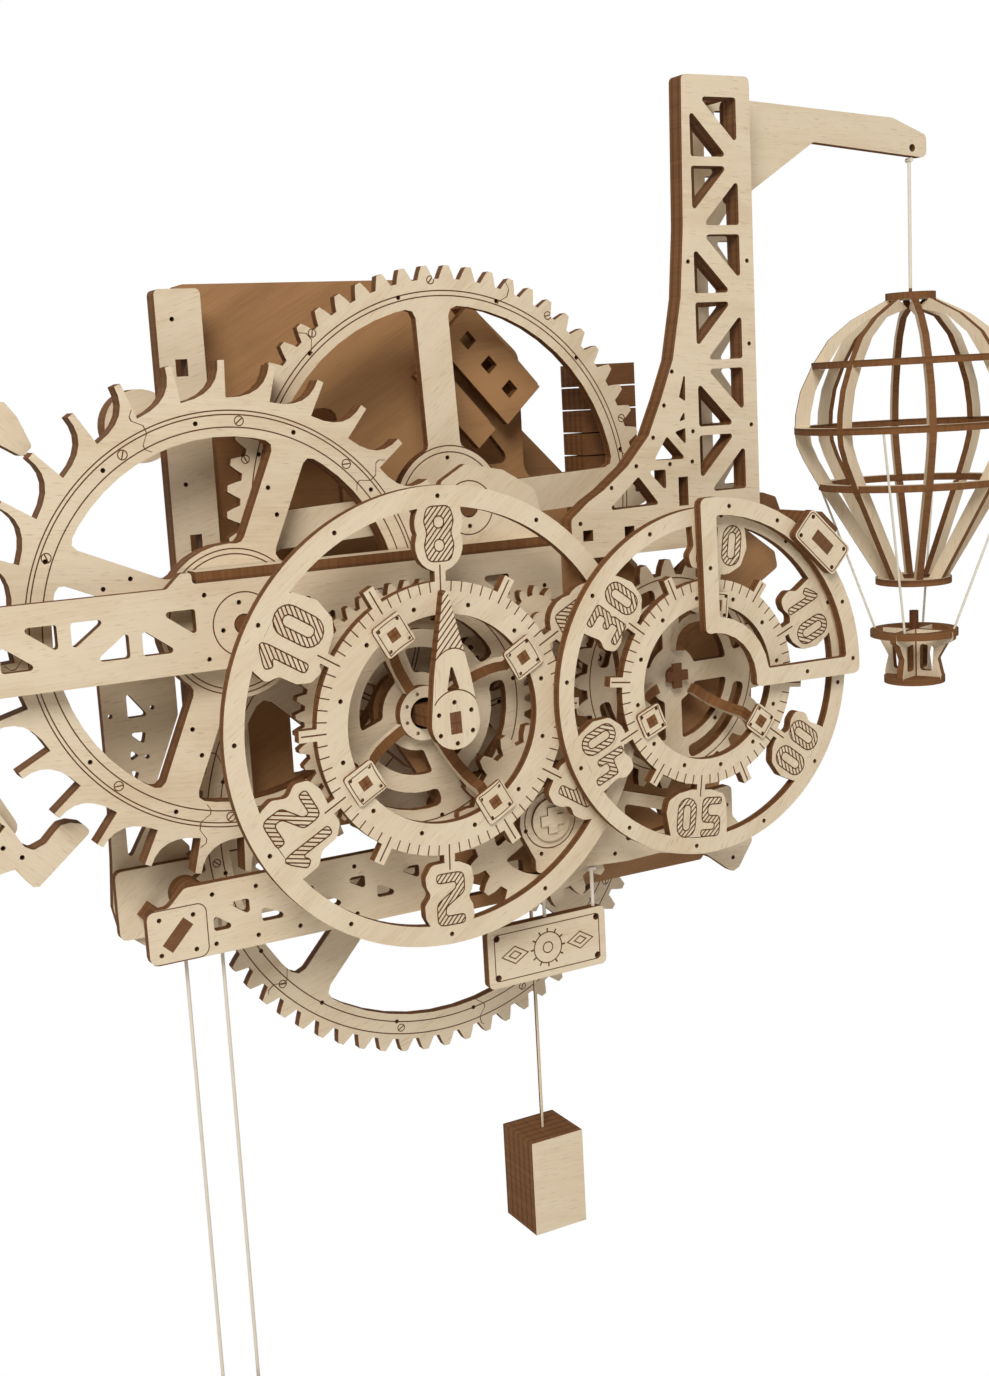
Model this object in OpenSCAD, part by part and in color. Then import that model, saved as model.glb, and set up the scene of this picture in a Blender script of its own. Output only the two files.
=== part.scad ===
// Wall clock kit of laser-cut birch plywood: two turning dials, a geared
// movement with an escape wheel and pendulum, a lattice tower and a balloon.
// X runs to the right, Y into the wall, Z up. The origin is the hole for the wall
// screw, on the wall side of the wall plate. Sizes below are given from the centre
// of the hour dial's front face, and seat() moves each piece to the wall.

/* [Plywood] */
// Thickness of the plywood sheet
ply = 3; // [2.6:0.1:3.2]
// Thickness of the thin square caps on the dials
cap_t = 1; // [0.6:0.1:1.2]
// Radius of the round wooden arbors
arbor_r = 2.5; // [2:0.1:2.8]
// Gap around an arbor in a fixed plate
bearing_gap = 0.3; // [0.2:0.05:0.5]
// Gap between pieces that pass each other
run_gap = 0.5; // [0.4:0.1:0.8]
// Radius of the small pin holes
pin_r = 0.65; // [0.4:0.05:0.9]

/* [Hour dial] */
// Radius of the pin-hole circle of the outer ring
hour_ring_r = 60; // [56:1:66]
// Width of the outer ring
hour_ring_w = 5.6; // [4:0.2:8]
// Middle radius of the scale ring
hour_scale_r = 33; // [30:0.5:36]
// Width of the scale ring
hour_scale_w = 8.8; // [7:0.2:10]
// Turn of the dial at rest, degrees
hour_phase = -1.65; // [-15:0.05:15]

/* [Minute dial] */
// Sideways distance from the hour axis to the minute axis
minute_x = 83; // [80:0.5:90]
// Radius of the pin-hole circle of the outer ring
minute_ring_r = 48.2; // [45:0.2:52]
// Width of the outer ring
minute_ring_w = 4.8; // [4:0.2:6]
// Middle radius of the scale ring
minute_scale_r = 26.2; // [24:0.2:29]
// Width of the scale ring
minute_scale_w = 7.4; // [6:0.2:8.4]
// Turn of the dial at rest, degrees
minute_phase = -7.4; // [-15:0.1:15]

/* [Gear train] */
// Radius of the escape wheel over its tooth tips
escape_tip_r = 69; // [60:1:72]
// Depth of an escape wheel tooth
escape_tooth = 9.7; // [7:0.1:11]
// Teeth of the escape wheel
escape_teeth = 30; // [24:1:36]
// Teeth of the escape pinion
escape_leaves = 8; // [8:1:10]
// Teeth of the second wheel
second_teeth = 60; // [54:1:64]
// Teeth of the second pinion
second_leaves = 12; // [10:1:14]
// Teeth of the great wheel
great_teeth = 66; // [60:1:72]
// Radius of the cord drum on the great wheel
great_drum_r = 16; // [12:1:22]
// Radius of the winding drum under the cross cap
wind_drum_r = 4.5; // [4:0.1:6]

/* [Frame] */
// Front face of the front beams, behind the dial ring
beam_y = 22; // [22:0.5:23]
// Front face of the rear plate
rear_y = 62; // [60:1:70]
// Front face of the wall plate
wall_y = 92; // [88:1:104]
// Top of the tower
tower_top = 172; // [150:1:200]
// Radius of the hole for the wall screw
screw_hole_r = 3; // [2:0.25:4]

/* [Hanging pieces] */
// Distance from the anchor pivot to the middle of the bob
pendulum_len = 300; // [240:5:340]
// Radius of the pendulum bob
bob_r = 26; // [20:1:34]
// Width of the drive weight
weight_w = 34; // [28:1:40]
// Height of the drive weight
weight_h = 74; // [60:1:100]
// Radius of the balloon at its widest ring
balloon_r = 38; // [32:1:42]
// Thickness of the balloon's thinner sheet
balloon_ply = 2.2; // [1.8:0.1:3]

/* [Hidden] */
$fn = 48;

birch = "#e0c9a4";
birch_dark = "#b08a5e";
cord_white = "#f0ece2";

// Layers, front to back. Each plate's front face is named; its back is one ply behind.
hour_y = 0;
minute_y = -2 * ply;
window_y = minute_y - cap_t - run_gap - ply;
pointer_y = -cap_t - run_gap - 2 * ply + 1;
bridge_y = 9;
front_gear_y = bridge_y + ply + run_gap;
hour_gear_y = beam_y - 2 * ply;
relay_y = beam_y + ply + run_gap;
escape_y = relay_y + ply + run_gap;
escape_t = 2 * ply;
second_y = escape_y + escape_t + 4 * run_gap;
great_y = second_y + 2 * ply;
cord_y = relay_y + ply + 2 * run_gap;

// Axes in the XZ plane
hour_c = [0, 0];
minute_c = [minute_x, 0];
escape_c = [-46.6, 29.2];
second_c = [24.5, 54.1];
great_c = [16.2, -34];
transfer_c = [36.4, -35.8];
relay_c = [39.2, 21];
anchor_c = [-147, 29.3];
balloon_c = [190, 25];

// Tooth proportions, shares of the module
addendum = 0.7;
dedendum = 1.0;
backlash = 0.14;
pressure = 25;

function unit(v) = v / norm(v);
function along(a) = [cos(a), sin(a)];
function bearing(from, to) = atan2(to[1] - from[1], to[0] - from[0]);
function arc(c, r, a0, a1, n) = [for (i = [0:n]) c + r * along(a0 + (a1 - a0) * i / n)];
function turned(pts, a) = [for (p = pts) [p[0] * cos(a) - p[1] * sin(a), p[0] * sin(a) + p[1] * cos(a)]];
function moved(pts, v) = [for (p = pts) p + v];

// The arc that rounds corner q between its neighbours p and s
function corner(p, q, s, r, n) = let (
    a = unit(p - q),
    b = unit(s - q),
    ang = acos(max(-1, min(1, a * b))),
    d = min(r / tan(ang / 2), norm(p - q) * 0.45, norm(s - q) * 0.45),
    rr = d * tan(ang / 2),
    c = q + unit(a + b) * rr / sin(ang / 2),
    a0 = atan2((q + a * d - c)[1], (q + a * d - c)[0]),
    a1 = atan2((q + b * d - c)[1], (q + b * d - c)[0]),
    da = ((a1 - a0) + 540) % 360 - 180
) [for (i = [0:n]) c + rr * along(a0 + da * i / n)];
function rounded(pts, r, n = 3) = let (k = len(pts)) [
    for (i = [0:k - 1]) each corner(pts[(i + k - 1) % k], pts[i], pts[(i + 1) % k], r, n)
];
function box_pts(w, h) = [[-w / 2, -h / 2], [w / 2, -h / 2], [w / 2, h / 2], [-w / 2, h / 2]];

// Involute gear outline
function inv(a) = tan(a) * 180 / PI - a;
function tooth_half(teeth, m, r) = let (
    rb = teeth * m / 2 * cos(pressure),
    q = max(r, rb)
) 90 / teeth * (1 - 2 * backlash / PI) + inv(pressure) - inv(acos(rb / q));
function tip_r(teeth, m) = m * (teeth / 2 + addendum);
function gear_pts(teeth, m, phase) = let (
    rb = teeth * m / 2 * cos(pressure),
    root = m * (teeth / 2 - dedendum),
    tip = tip_r(teeth, m),
    low = max(root + 0.01, rb),
    steps = [root, low, (low + tip) / 2, tip]
) [
    for (i = [0:teeth - 1]) let (a = phase + 360 * i / teeth)
        each concat(
            [for (r = steps) r * along(a - tooth_half(teeth, m, r))],
            [for (k = [3:-1:0]) steps[k] * along(a + tooth_half(teeth, m, steps[k]))]
        )
];
// The turn at which gear 2 meshes with gear 1, whose centre lies at angle a behind it
function mesh_phase(a, n1, p1, n2) = let (
    u = (a - p1) * n1 / 360,
    part = u - floor(u)
) a + 180 - (0.5 - part) * 360 / n2;

// Modules of the gear pairs follow from the distances between their axes
function pair_module(a, b, n1, n2) = 2 * norm(b - a) / (n1 + n2);
escape_m = pair_module(escape_c, second_c, escape_leaves, second_teeth);
second_m = pair_module(second_c, great_c, second_leaves, great_teeth);
great_leaves = 10;
transfer_rear_teeth = 20;
transfer_m = pair_module(great_c, transfer_c, great_leaves, transfer_rear_teeth);
transfer_front_teeth = 20;
minute_teeth = 25;
minute_m = pair_module(transfer_c, minute_c, transfer_front_teeth, minute_teeth);
relay_leaves = 12;
hour_teeth = 48;
hour_m = pair_module(relay_c, hour_c, relay_leaves, hour_teeth);
relay_teeth = 30;
small_leaves = 10;
small_m = 1.24;
small_d = small_leaves * small_m;
relay_r = (small_leaves + relay_teeth) * small_m / 2;
// The idlers bridge the gap between the minute pinion and the relay wheel
chain_a = bearing(minute_c, relay_c);
chain_gap = norm(relay_c - minute_c);
chain_dip = acos((pow(chain_gap, 2) + pow(2 * small_d, 2) - pow(relay_r, 2)) / (4 * small_d * chain_gap));
idler_a_c = minute_c + small_d * along(chain_a + chain_dip);
idler_b_c = minute_c + 2 * small_d * along(chain_a + chain_dip);

second_phase = 3.4;
escape_pinion_phase = mesh_phase(bearing(second_c, escape_c), second_teeth, second_phase, escape_leaves);
great_phase = 2.4;
second_pinion_phase = mesh_phase(bearing(great_c, second_c), great_teeth, great_phase, second_leaves);
transfer_rear_phase = mesh_phase(bearing(great_c, transfer_c), great_leaves, 0, transfer_rear_teeth);
minute_gear_phase = 4;
transfer_front_phase = mesh_phase(bearing(minute_c, transfer_c), minute_teeth, minute_gear_phase,
    transfer_front_teeth);
hour_gear_phase = 2;
relay_pinion_phase = mesh_phase(bearing(hour_c, relay_c), hour_teeth, hour_gear_phase, relay_leaves);
idler_a_phase = mesh_phase(bearing(minute_c, idler_a_c), small_leaves, 0, small_leaves);
idler_b_phase = mesh_phase(bearing(idler_a_c, idler_b_c), small_leaves, idler_a_phase, small_leaves);
relay_wheel_phase = mesh_phase(bearing(idler_b_c, relay_c), small_leaves, idler_b_phase, relay_teeth);

hanger_z = 100;
module seat() translate([0, -wall_y - ply, -hanger_z]) children();
// A plate in the XZ plane whose front face is at y
module plate(y, t = ply) translate([0, y + t, 0]) rotate([90, 0, 0]) linear_extrude(height = t) children();
// A round bar or bore along Y at the point c
module bar(c, y0, y1, r) translate([c[0], y0, c[1]]) rotate([-90, 0, 0]) cylinder(h = y1 - y0, r = r);
module at(c, a = 0) translate(c) rotate(a) children();
module disc(c, r) translate(c) circle(r = r);
module band(c, r_in, r_out) difference() {
    disc(c, r_out);
    disc(c, r_in);
}
module peg(c, a, w, h, y0, y1) plate(y0, y1 - y0) at(c, a) square([w, h], center = true);
module holes(points, y, t = ply, r = pin_r) for (p = points) bar(p, y - 1, y + t + 1, r);
function ring_points(c, r, n, phase) = [for (i = [0:n - 1]) c + r * along(phase + 360 * i / n)];

// One cell of a lattice: two triangles with the diagonal strip left between them
module cell(x0, x1, z0, z1, falling, strip = 3) {
    w = x1 - x0;
    h = z1 - z0;
    s = strip * sqrt(w * w + h * h);
    upper = [[s / h, h], [w, h], [w, s / w]];
    lower = [[0, h - s / w], [w - s / h, 0], [0, 0]];
    for (tri = [upper, lower]) {
        t = rounded([for (p = tri) [falling ? p[0] : w - p[0], p[1]]], 0.8);
        translate([x0, z0]) polygon(t);
    }
}

// A wheel blank with spokes; the outline is cut around it by the caller
module spoke_cuts(r_in, r_out, spokes, width, phase, r = 3) {
    half_in = asin(width / 2 / r_in);
    half_out = asin(width / 2 / r_out);
    for (i = [0:spokes - 1]) {
        a0 = phase + 360 / spokes * i;
        a1 = a0 + 360 / spokes;
        inner = arc([0, 0], r_in, a1 - half_in, a0 + half_in, 6);
        outer = arc([0, 0], r_out, a0 + half_out, a1 - half_out, 12);
        polygon(rounded(concat(inner, outer), r, 2));
    }
}

// ---- fixed frame ----
beam_low = 17.9;
beam_high = 41.2;
beam_left = -166;
beam_right = 52;
beam_step_x = -60;
window_low = 23.9;
window_high = 34.7;
cell_w = 14.7;
cell_pitch = 18.2;
upper_cells = [-129.1, -110.9, -92.7, -74.5, -35, -16.8, 1.4, 19.6];
module upper_beam() color(birch) seat() difference() {
    plate(beam_y) difference() {
        polygon(rounded([[beam_left, beam_low], [beam_right, beam_low], [beam_right, beam_high],
            [beam_step_x, beam_high], [beam_step_x, beam_high + ply], [beam_step_x - 3, beam_high + ply],
            [beam_step_x - 7, beam_high - 0.7], [beam_left, beam_high - 0.7]], 1));
        for (i = [0:len(upper_cells) - 1])
            cell(upper_cells[i], upper_cells[i] + cell_w, window_low, window_high, i % 2 == 1);
    }
    for (c = [escape_c, relay_c, anchor_c]) bar(c, beam_y - 1, beam_y + ply + 1, arbor_r + bearing_gap);
    holes(concat(ring_points(escape_c, 6, 4, 10), [[-57, 38], [-57, 21], [-38, 38], [46, 30]]), beam_y);
}

top_strip_d = ply * 2 + run_gap;
module upper_beam_top() color(birch_dark) seat()
    translate([beam_step_x + 1.2, beam_y, beam_high]) cube([beam_right - beam_step_x - 1.2, top_strip_d, ply]);

lower_top = -39.1;
lower_bottom = -59;
lower_left = -80.2;
lower_right = 8;
box_top = -43.8;
tie_c = [-72.1, -51.5];
tie_a = 47;
tie_w = 9.2;
module lower_outline() polygon(rounded([[lower_left, lower_bottom], [lower_right, lower_bottom],
    [lower_right, lower_top], [-69.3, lower_top], [-74.1, box_top], [lower_left, box_top]], 2.4));
lower_cells = [[-62, -51.5], [-48.2, -32.5], [-29.5, -17], [-13.5, 0]];
module lower_beam() color(birch) seat() difference() {
    plate(beam_y) difference() {
        lower_outline();
        for (i = [0:3])
            cell(lower_cells[i][0], lower_cells[i][1], -52.6, -45.3, true, i == 0 ? 2.2 : 2.8);
        at(tie_c, tie_a) square([tie_w, ply * 1.2], center = true);
    }
    holes([[-76.9, -46.6], [-67.5, -46.7], [-77, -56.3], [-67.3, -56.4], [-61.8, -42.3], [-49.3, -42.3],
        [-61.7, -56.1], [-49.6, -56.1], [-37.3, -56], [-20, -42.3], [-20, -56], [3, -56]], beam_y);
}

rear_frame_y = great_y + 2 * ply;
module lower_rear_beam() color(birch) seat() difference() {
    plate(rear_frame_y) difference() {
        polygon(rounded([[lower_left, lower_bottom], [70, lower_bottom], [70, lower_top], [38, lower_top],
            [34, -54.5], [-22, -54.5], [-26, lower_top], [lower_left, lower_top]], 2));
        for (x = [-64, -46]) cell(x, x + 14, -54, -44, true);
        cell(44, 62, -54, -44, true);
    }
}

module cross_tie() color(birch_dark) seat() {
    peg(tie_c, tie_a, tie_w, ply * 1.2, beam_y, beam_y + ply);
    peg(tie_c, tie_a, tie_w / 2, ply * 1.2, beam_y + ply, rear_frame_y);
    bar([weight_x, cord_top], beam_y + ply, great_y - run_gap, cord_gap - cord_r);
}

bridge_r = 10;
module dial_bridge() color(birch) seat() difference() {
    plate(bridge_y) difference() {
        polygon(rounded(concat(
            arc(transfer_c, bridge_r, 100, 200, 6),
            [[31, -47], [31, -51], [62, -53], [74, -52.6], [91, -56.2], [100.5, -63.5], [103, -62.5],
             [108.6, -54.5], [101, -45.7], [101, -36], [82, -37.5], [60, -31]]), 1.5));
        polygon(rounded([[62, -35.5], [80, -41], [80, -45], [62, -47]], 1));
        polygon(rounded([[84, -41.5], [97, -40.5], [97, -50], [84, -50]], 1));
    }
    bar(transfer_c, bridge_y - 1, bridge_y + ply + 1, arbor_r + bearing_gap);
    holes([[28.5, -30.5], [28.2, -38], [33, -45.5], [44, -45], [100.8, -59], [99, -42], [58, -50]], bridge_y);
}

spacer_points = [[69, -49.6], [97, -57]];
module bridge_spacers() color(birch_dark) seat() for (c = spacer_points) bar(c, bridge_y + ply, beam_y, 2.6);

module right_plate() color(birch) seat() difference() {
    plate(beam_y) difference() {
        union() {
            polygon(rounded([[beam_right, beam_low], [60, 14], [72, 12], [76, -14], [50, -22], [8, -22],
                [lower_right, -62], [98, -62], [104, -54], [106, -38], [118, -32], [120, 0], [119, 20],
                [131, 27], [130, 32], [119, 40], [108, 40], [102, 36], [92, 29], [80, 29], [70, 40], [beam_right, beam_high]], 1.5));
            disc(hour_c, 11);
            polygon([[-4, -10], [4, -10], [14, -24], [8, -30]]);
        }
        cell(14, 34, -58, -50, true);
        cell(44, 66, -56, -42, false);
        cell(72, 92, -56, -40, true);
        cell(57, 70, 20, 34, true, 2.4);
    }
    for (c = [minute_c, transfer_c, great_c, idler_a_c, idler_b_c])
        bar(c, beam_y - 1, beam_y + ply + 1, arbor_r + bearing_gap);
    holes([[56, 22], [88, 22], [86, 8], [90, -16], [12, -26], [46, -26], [96, -57], [12, -59]], beam_y);
}

// A strip behind the minute pinion carries the far end of its arbor
minute_back_y = relay_y + ply + 2 * run_gap;
strip_points = [[88, 22], [96, -44]];
module minute_bearing() color(birch_dark) seat() {
    difference() {
        plate(minute_back_y) polygon(rounded([[82, 28], [94, 28], [93, 2], [102, -42], [98, -50], [90, -50],
            [76, -6], [76, 6]], 2));
        bar(minute_c, minute_back_y - 1, minute_back_y + ply + 1, arbor_r + bearing_gap);
    }
    for (c = strip_points) bar(c, beam_y + ply, minute_back_y, 2.6);
}

// Tower plates: a lattice with a concave left edge that meets the base
tower_y = beam_y - 10;
tower_right = 117;
tower_mid = [91, 95.5];
tower_post = 112;
tower_base = 50.6;
tower_foot = 37.5;
function tower_edge() = [[50, tower_foot], [50, 49], [56, 53.6], [61.4, 56.6], [69.7, 62.7], [77.5, 71.1],
    [82.3, 81.3], [86.9, 92.4], [90.4, 110], [92, 130], [93, tower_top]];
tower_pitch = 19.2;
tower_cell_h = 16.6;
tower_cells = floor((tower_top - tower_base - 4) / tower_pitch);
function tower_cell(i) = tower_base + 2.8 + tower_pitch * i;
module tower_outline() difference() {
    polygon(rounded(concat(tower_edge(), [[tower_right, tower_top], [tower_right, tower_foot + 6],
        [tower_right - 8, tower_foot + 6], [tower_right - 14, tower_foot]]), 1.6));
    for (i = [0:tower_cells - 1]) cell(tower_mid[1], tower_post, tower_cell(i), tower_cell(i) + tower_cell_h,
        i % 2 == 1, 2.5);
    polygon(rounded([[62.6, tower_base], [80.5, tower_base + 0.4], [73.4, 59.6]], 0.6));
    polygon(rounded([[76.8, 61], [83, 61], [83, 54.6]], 0.6));
    polygon(rounded([[79, 63.8], [90.4, 63.6], [83.8, 70.6]], 0.6));
    polygon(rounded([[86.6, 71.6], [90.5, 72.6], [90.5, 67.6]], 0.4));
    polygon(rounded([[88.2, 74.4], [90.4, 77.6], [90.4, 75]], 0.3));
    polygon(rounded([[88.6, 81.6], [90.8, 80.2], [91, 89.4]], 0.3));
    polygon([[87.4, 58.4], [90.8, 58.4], [90.8, 50], [87.4, 50]]);
    for (c = [[55.4, 44], [69.6, 44]]) at(c) square([3.4, ply * 1.05], center = true);
}
tower_pins = [[53, 47.6], [64, 57], [72.8, 62.6], [79, 70.4], [83.2, 79.4], [86.4, 89], [84.6, 62.4],
    [92.6, 62.6], [93.2, 71.4], [114.6, 72.2], [114.6, 96], [114.6, 120], [93.4, 120]];
module tower_front() color(birch) seat() difference() {
    plate(tower_y, 2 * ply) tower_outline();
    holes(tower_pins, tower_y, 2 * ply);
}
tower_rear_y = second_y - ply - run_gap;
// The rear ladder stands one post to the right of the front one
rear_ladder = [tower_post, tower_right - 1, tower_right + 12, tower_right + 16];
module tower_rear() color(birch) seat() plate(tower_rear_y) difference() {
    translate([rear_ladder[0], tower_foot + 6]) square([rear_ladder[3] - rear_ladder[0], tower_top - tower_foot - 6]);
    for (i = [0:tower_cells - 1]) cell(rear_ladder[1], rear_ladder[2], tower_cell(i), tower_cell(i) + tower_cell_h,
        i % 2 == 1, 2.5);
}
module tower_ties() color(birch_dark) seat() {
    for (z = [tower_foot + 9, tower_cell(1) - ply, tower_cell(3) - ply, tower_top - 5])
        translate([tower_post, tower_y + 2 * ply, z]) cube([tower_right - tower_post - 1,
            tower_rear_y - tower_y - 2 * ply, ply]);
    translate([56, tower_y + 2 * ply, tower_foot + 0.3]) cube([10, beam_y - tower_y - 2 * ply, 2.2]);
}

post_l = [-54.8, -41.8];
post_wide = -38;
roller_c = [-59.6, 82];
roller_r = 10;
module left_post() color(birch) seat() {
    difference() {
        plate(rear_frame_y, 2 * ply) difference() {
            polygon(rounded([[post_l[0], lower_top + 0.5], [post_wide, lower_top + 0.5], [post_wide, 38],
                [post_l[1], 44], [post_l[1], 118], [post_l[0], 118]], 1.5));
            for (z = [49.5, 97]) at([-48.6, z]) square([3.4, 4.6], center = true);
        }
        holes([[-50.3, 65.6], [-50.3, 80], [-50.3, 110], [-50, 12]], rear_frame_y, 2 * ply);
        bar(escape_c, rear_frame_y - 1, rear_frame_y + 2 * ply + 1, arbor_r + bearing_gap);
    }
    // A guide roller stands on a tab behind the post
    difference() {
        union() {
            bar(roller_c, rear_frame_y + 2 * ply, rear_y, roller_r);
            plate(rear_frame_y + 2 * ply) polygon([[post_l[1], 72], [post_l[1], 92], roller_c + [2, 8],
                roller_c + [2, -8]]);
        }
        bar(roller_c, rear_frame_y + 2 * ply - 1, rear_y + 1, arbor_r);
    }
}

leg_x = -78.6;
module left_leg() color(birch) seat() difference() {
    plate(rear_frame_y + ply) difference() {
        polygon(rounded([[leg_x, 16], [leg_x, -10], [leg_x - 1, -36], [leg_x - 2, -50], [leg_x - 0.6, -57],
            [-72, -63], [-57.2, -52], [-57.2, -36], [-65.8, -26], [-65.4, -17], [-57.2, 2], [-57.2, 16]], 1.5));
        polygon(rounded([[-71.5, 10.6], [-65.6, 2.8], [-71.5, 2.8]], 0.6));
        polygon(rounded([[-71.7, -1.3], [-66.8, -1.6], [-67.6, -5]], 0.5));
        polygon(rounded([[-71.5, -6.2], [-69.2, -8], [-71.9, -9.2]], 0.4));
        polygon(rounded([[-72, -11.7], [-69.7, -12.8], [-70.9, -15.6]], 0.4));
        polygon(rounded([[-75, -22], [-69, -28], [-75, -38]], 0.8));
    }
    holes([[-76.4, 4], [-64.4, 5], [-67, -8.6], [-75, -48], [-66, -34]], rear_frame_y + ply);
}

module rear_plate() color(birch) seat() difference() {
    plate(rear_y) difference() {
        union() {
            polygon(rounded([[-47, -41], [100, -41], [104, 50], [74, 56], [64, 60], [64, 97], [40, 120],
                [-47, 120]], 5));
            disc(escape_c, 6);
        }
        polygon(rounded([[-20, -30], [-2, -30], [-2, 20], [-20, 20]], 4));
        polygon(rounded([[-36, 46], [2, 46], [2, 84], [-36, 84]], 4));
        polygon(rounded([[36, -10], [72, -10], [72, 30], [36, 30]], 4));
        polygon(rounded([[44, 64], [60, 64], [44, 84]], 2));
    }
    for (c = [great_c, second_c, escape_c, minute_c])
        bar(c, rear_y - 1, rear_y + ply + 1, arbor_r + bearing_gap);
}

standoff_points = [[-26, 92], [-30, -34], [90, -34], [88, 44]];
module wall_plate() color(birch) seat() difference() {
    plate(wall_y) polygon(rounded([[-38, -42], [100, -42], [100, 54], [40, 114], [-36, 114]], 6));
    bar([0, hanger_z], wall_y - 1, wall_y + ply + 1, screw_hole_r);
    plate(wall_y - 1, ply + 2) {
        translate([44, 0]) polygon(rounded(box_pts(40, 60), 5));
        translate([-12, 0]) polygon(rounded(box_pts(24, 60), 5));
    }
}
module standoffs() color(birch_dark) seat() for (c = standoff_points) bar(c, rear_y + ply, wall_y, 4);

// ---- pointer and window ----
pointer_boss = 7.2;
pointer_len = 35.6;
pointer_a = 1.6;
post_w = 5.4;
module pointer() color(birch) seat() plate(pointer_y) rotate(pointer_a) difference() {
    polygon(concat(arc([0, 0], pointer_boss, -190, 10, 16), [[5.4, 13], [0.7, pointer_len - 0.4],
        [0, pointer_len], [-0.7, pointer_len - 0.4], [-5.4, 13]]));
    polygon(rounded([[0, 16.4], [1.9, 8.9], [-1.9, 8.9]], 0.4));
    square([3.4, 6], center = true);
    for (i = [0:5]) disc(5.6 * along(30 + 60 * i), pin_r);
}
module pointer_post() color(birch_dark) seat() {
    peg(hour_c, pointer_a, 3.4, 6, pointer_y, pointer_y + ply);
    peg(hour_c, pointer_a, post_w, post_w, pointer_y + ply, beam_y);
}

window_c = minute_c + [-1.4, -0.4];
window_out = [49, 54];
window_in = [15.4, 20];
bar_w = 5;
module window_frame() color(birch) seat() difference() {
    plate(window_y) at(window_c) difference() {
        polygon(rounded(concat(arc([0, 0], window_out[1], -3, 93, 16), arc([0, 0], window_in[0], 98, -8, 8)), 2));
        polygon(rounded(concat(arc([0, 0], window_out[0], 3, 87, 14), arc([0, 0], window_in[1], 82, 8, 6)), 0.8));
    }
    holes(concat(moved(ring_points([0, 0], 51.5, 18, 2), window_c) , [window_c + [0, 34], window_c + [34, 0]]),
        window_y);
}
cap_c = [119.8, 37.7];
cap_a = -43;
module window_cap() color(birch) seat() difference() {
    plate(window_y - ply) at(cap_c, cap_a) difference() {
        polygon(rounded(box_pts(19, 10.2), 1.4));
        square([7.8, 3.6], center = true);
    }
    holes([for (s = [-1, 1], t = [-1, 1]) cap_c + turned([[7.6 * s, 3.4 * t]], cap_a)[0]], window_y - ply);
}
module window_bracket() color(birch_dark) seat() {
    peg(cap_c, cap_a, 7.8, 3.6, window_y - ply, window_y);
    peg(cap_c + 6 * along(cap_a + 90), cap_a, 8, 4, window_y, tower_y);
    plate(tower_y) polygon(rounded([[tower_right, 52], [tower_right, 44.5], [121, 40], [127, 40], [123, 50]], 1));
}

module wheel_bracket() color(birch) seat() difference() {
    plate(relay_y) polygon(rounded([[8, beam_high + ply], [50, beam_high + ply], [46, 58], [36, 64],
        [24, 66.5], [16, 62], [14, 52]], 2));
    bar(second_c, relay_y - 1, relay_y + ply + 1, arbor_r + bearing_gap);
    holes(ring_points(second_c, 5.2, 4, 0), relay_y);
}

module top_bracket() color(birch) seat() {
    a = -48;
    c = [48, 94];
    difference() {
        peg(c, a, 34, 16, rear_frame_y + ply, rear_frame_y + 2 * ply);
        for (s = [-10, 0, 10]) peg(c + s * along(a), a, 4, 4, rear_frame_y, rear_y);
    }
    peg(c + 8 * along(a + 90) + [0, 0], a, 34, ply, rear_frame_y + 2 * ply, rear_y);
    peg(c - 16 * along(a + 90), a, 30, 8, rear_frame_y + ply, rear_frame_y + 2 * ply);
    peg(c - 12 * along(a + 90), a, 26, ply, rear_frame_y + 2 * ply, rear_y);
}

module laminated_column() color(birch_dark) seat()
    for (i = [0:6]) translate([79, rear_frame_y + i * 0, 44 + i * 7]) cube([19, rear_y - rear_frame_y, 6.6]);

arm_z = 156;
module balloon_arm() color(birch) seat() difference() {
    plate(balloon_c[1] - ply / 2) polygon(rounded([[tower_right, arm_z - 20], [tower_right, arm_z + 12],
        [balloon_c[0] - 8, arm_z + 8], [balloon_c[0] + 6, arm_z + 3], [balloon_c[0] + 6, arm_z - 4],
        [150, arm_z]], 2));
    bar([balloon_c[0], arm_z - 1], 0, 60, 1.2);
}

// ---- hour dial ----
// A plaque stands on the ring's inner edge and ends in a stem to the scale ring.
// Outline points are [distance from the axis, degrees from the plaque's middle].
function from_polar(list) = [for (p = list) p[0] * [-sin(p[1]), cos(p[1])]];
lobe_r = 7.1;
lobe_z = [47, 52.9];
lobe_a = asin((lobe_z[1] - lobe_z[0]) / 2 / lobe_r);
plaque_ten = [[58, -10], [56.8, -11.6], [50.1, -14.6], [43.7, -13.7], [40.9, -9.8], [39.2, -1.3], [40.6, 2.7],
    [38.8, 4.8], [40.6, 10], [44.6, 11.8], [49.9, 10.8], [52.9, 13.4], [57, 11.2], [58, 10]];
plaque_twelve = [[58, -11], [53.2, -13], [48.8, -11.5], [46, -14.9], [42, -14.1], [39.7, -8.9], [39.7, -2],
    [39.9, 6.8], [43.2, 10.2], [48.4, 9.4], [51.7, 12.1], [56.4, 11.2], [58, 10.6]];
plaque_twin = [[58, -6], [55.1, -8.1], [51.5, -8.9], [48.7, -6.9], [46.5, -9], [43.7, -10], [40.2, -8],
    [39.7, -2.4], [39.9, 4], [42.2, 9], [46, 9.1], [48.7, 7.8], [50.4, 6.2], [53, 7.4], [58, 7.4]];
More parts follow.
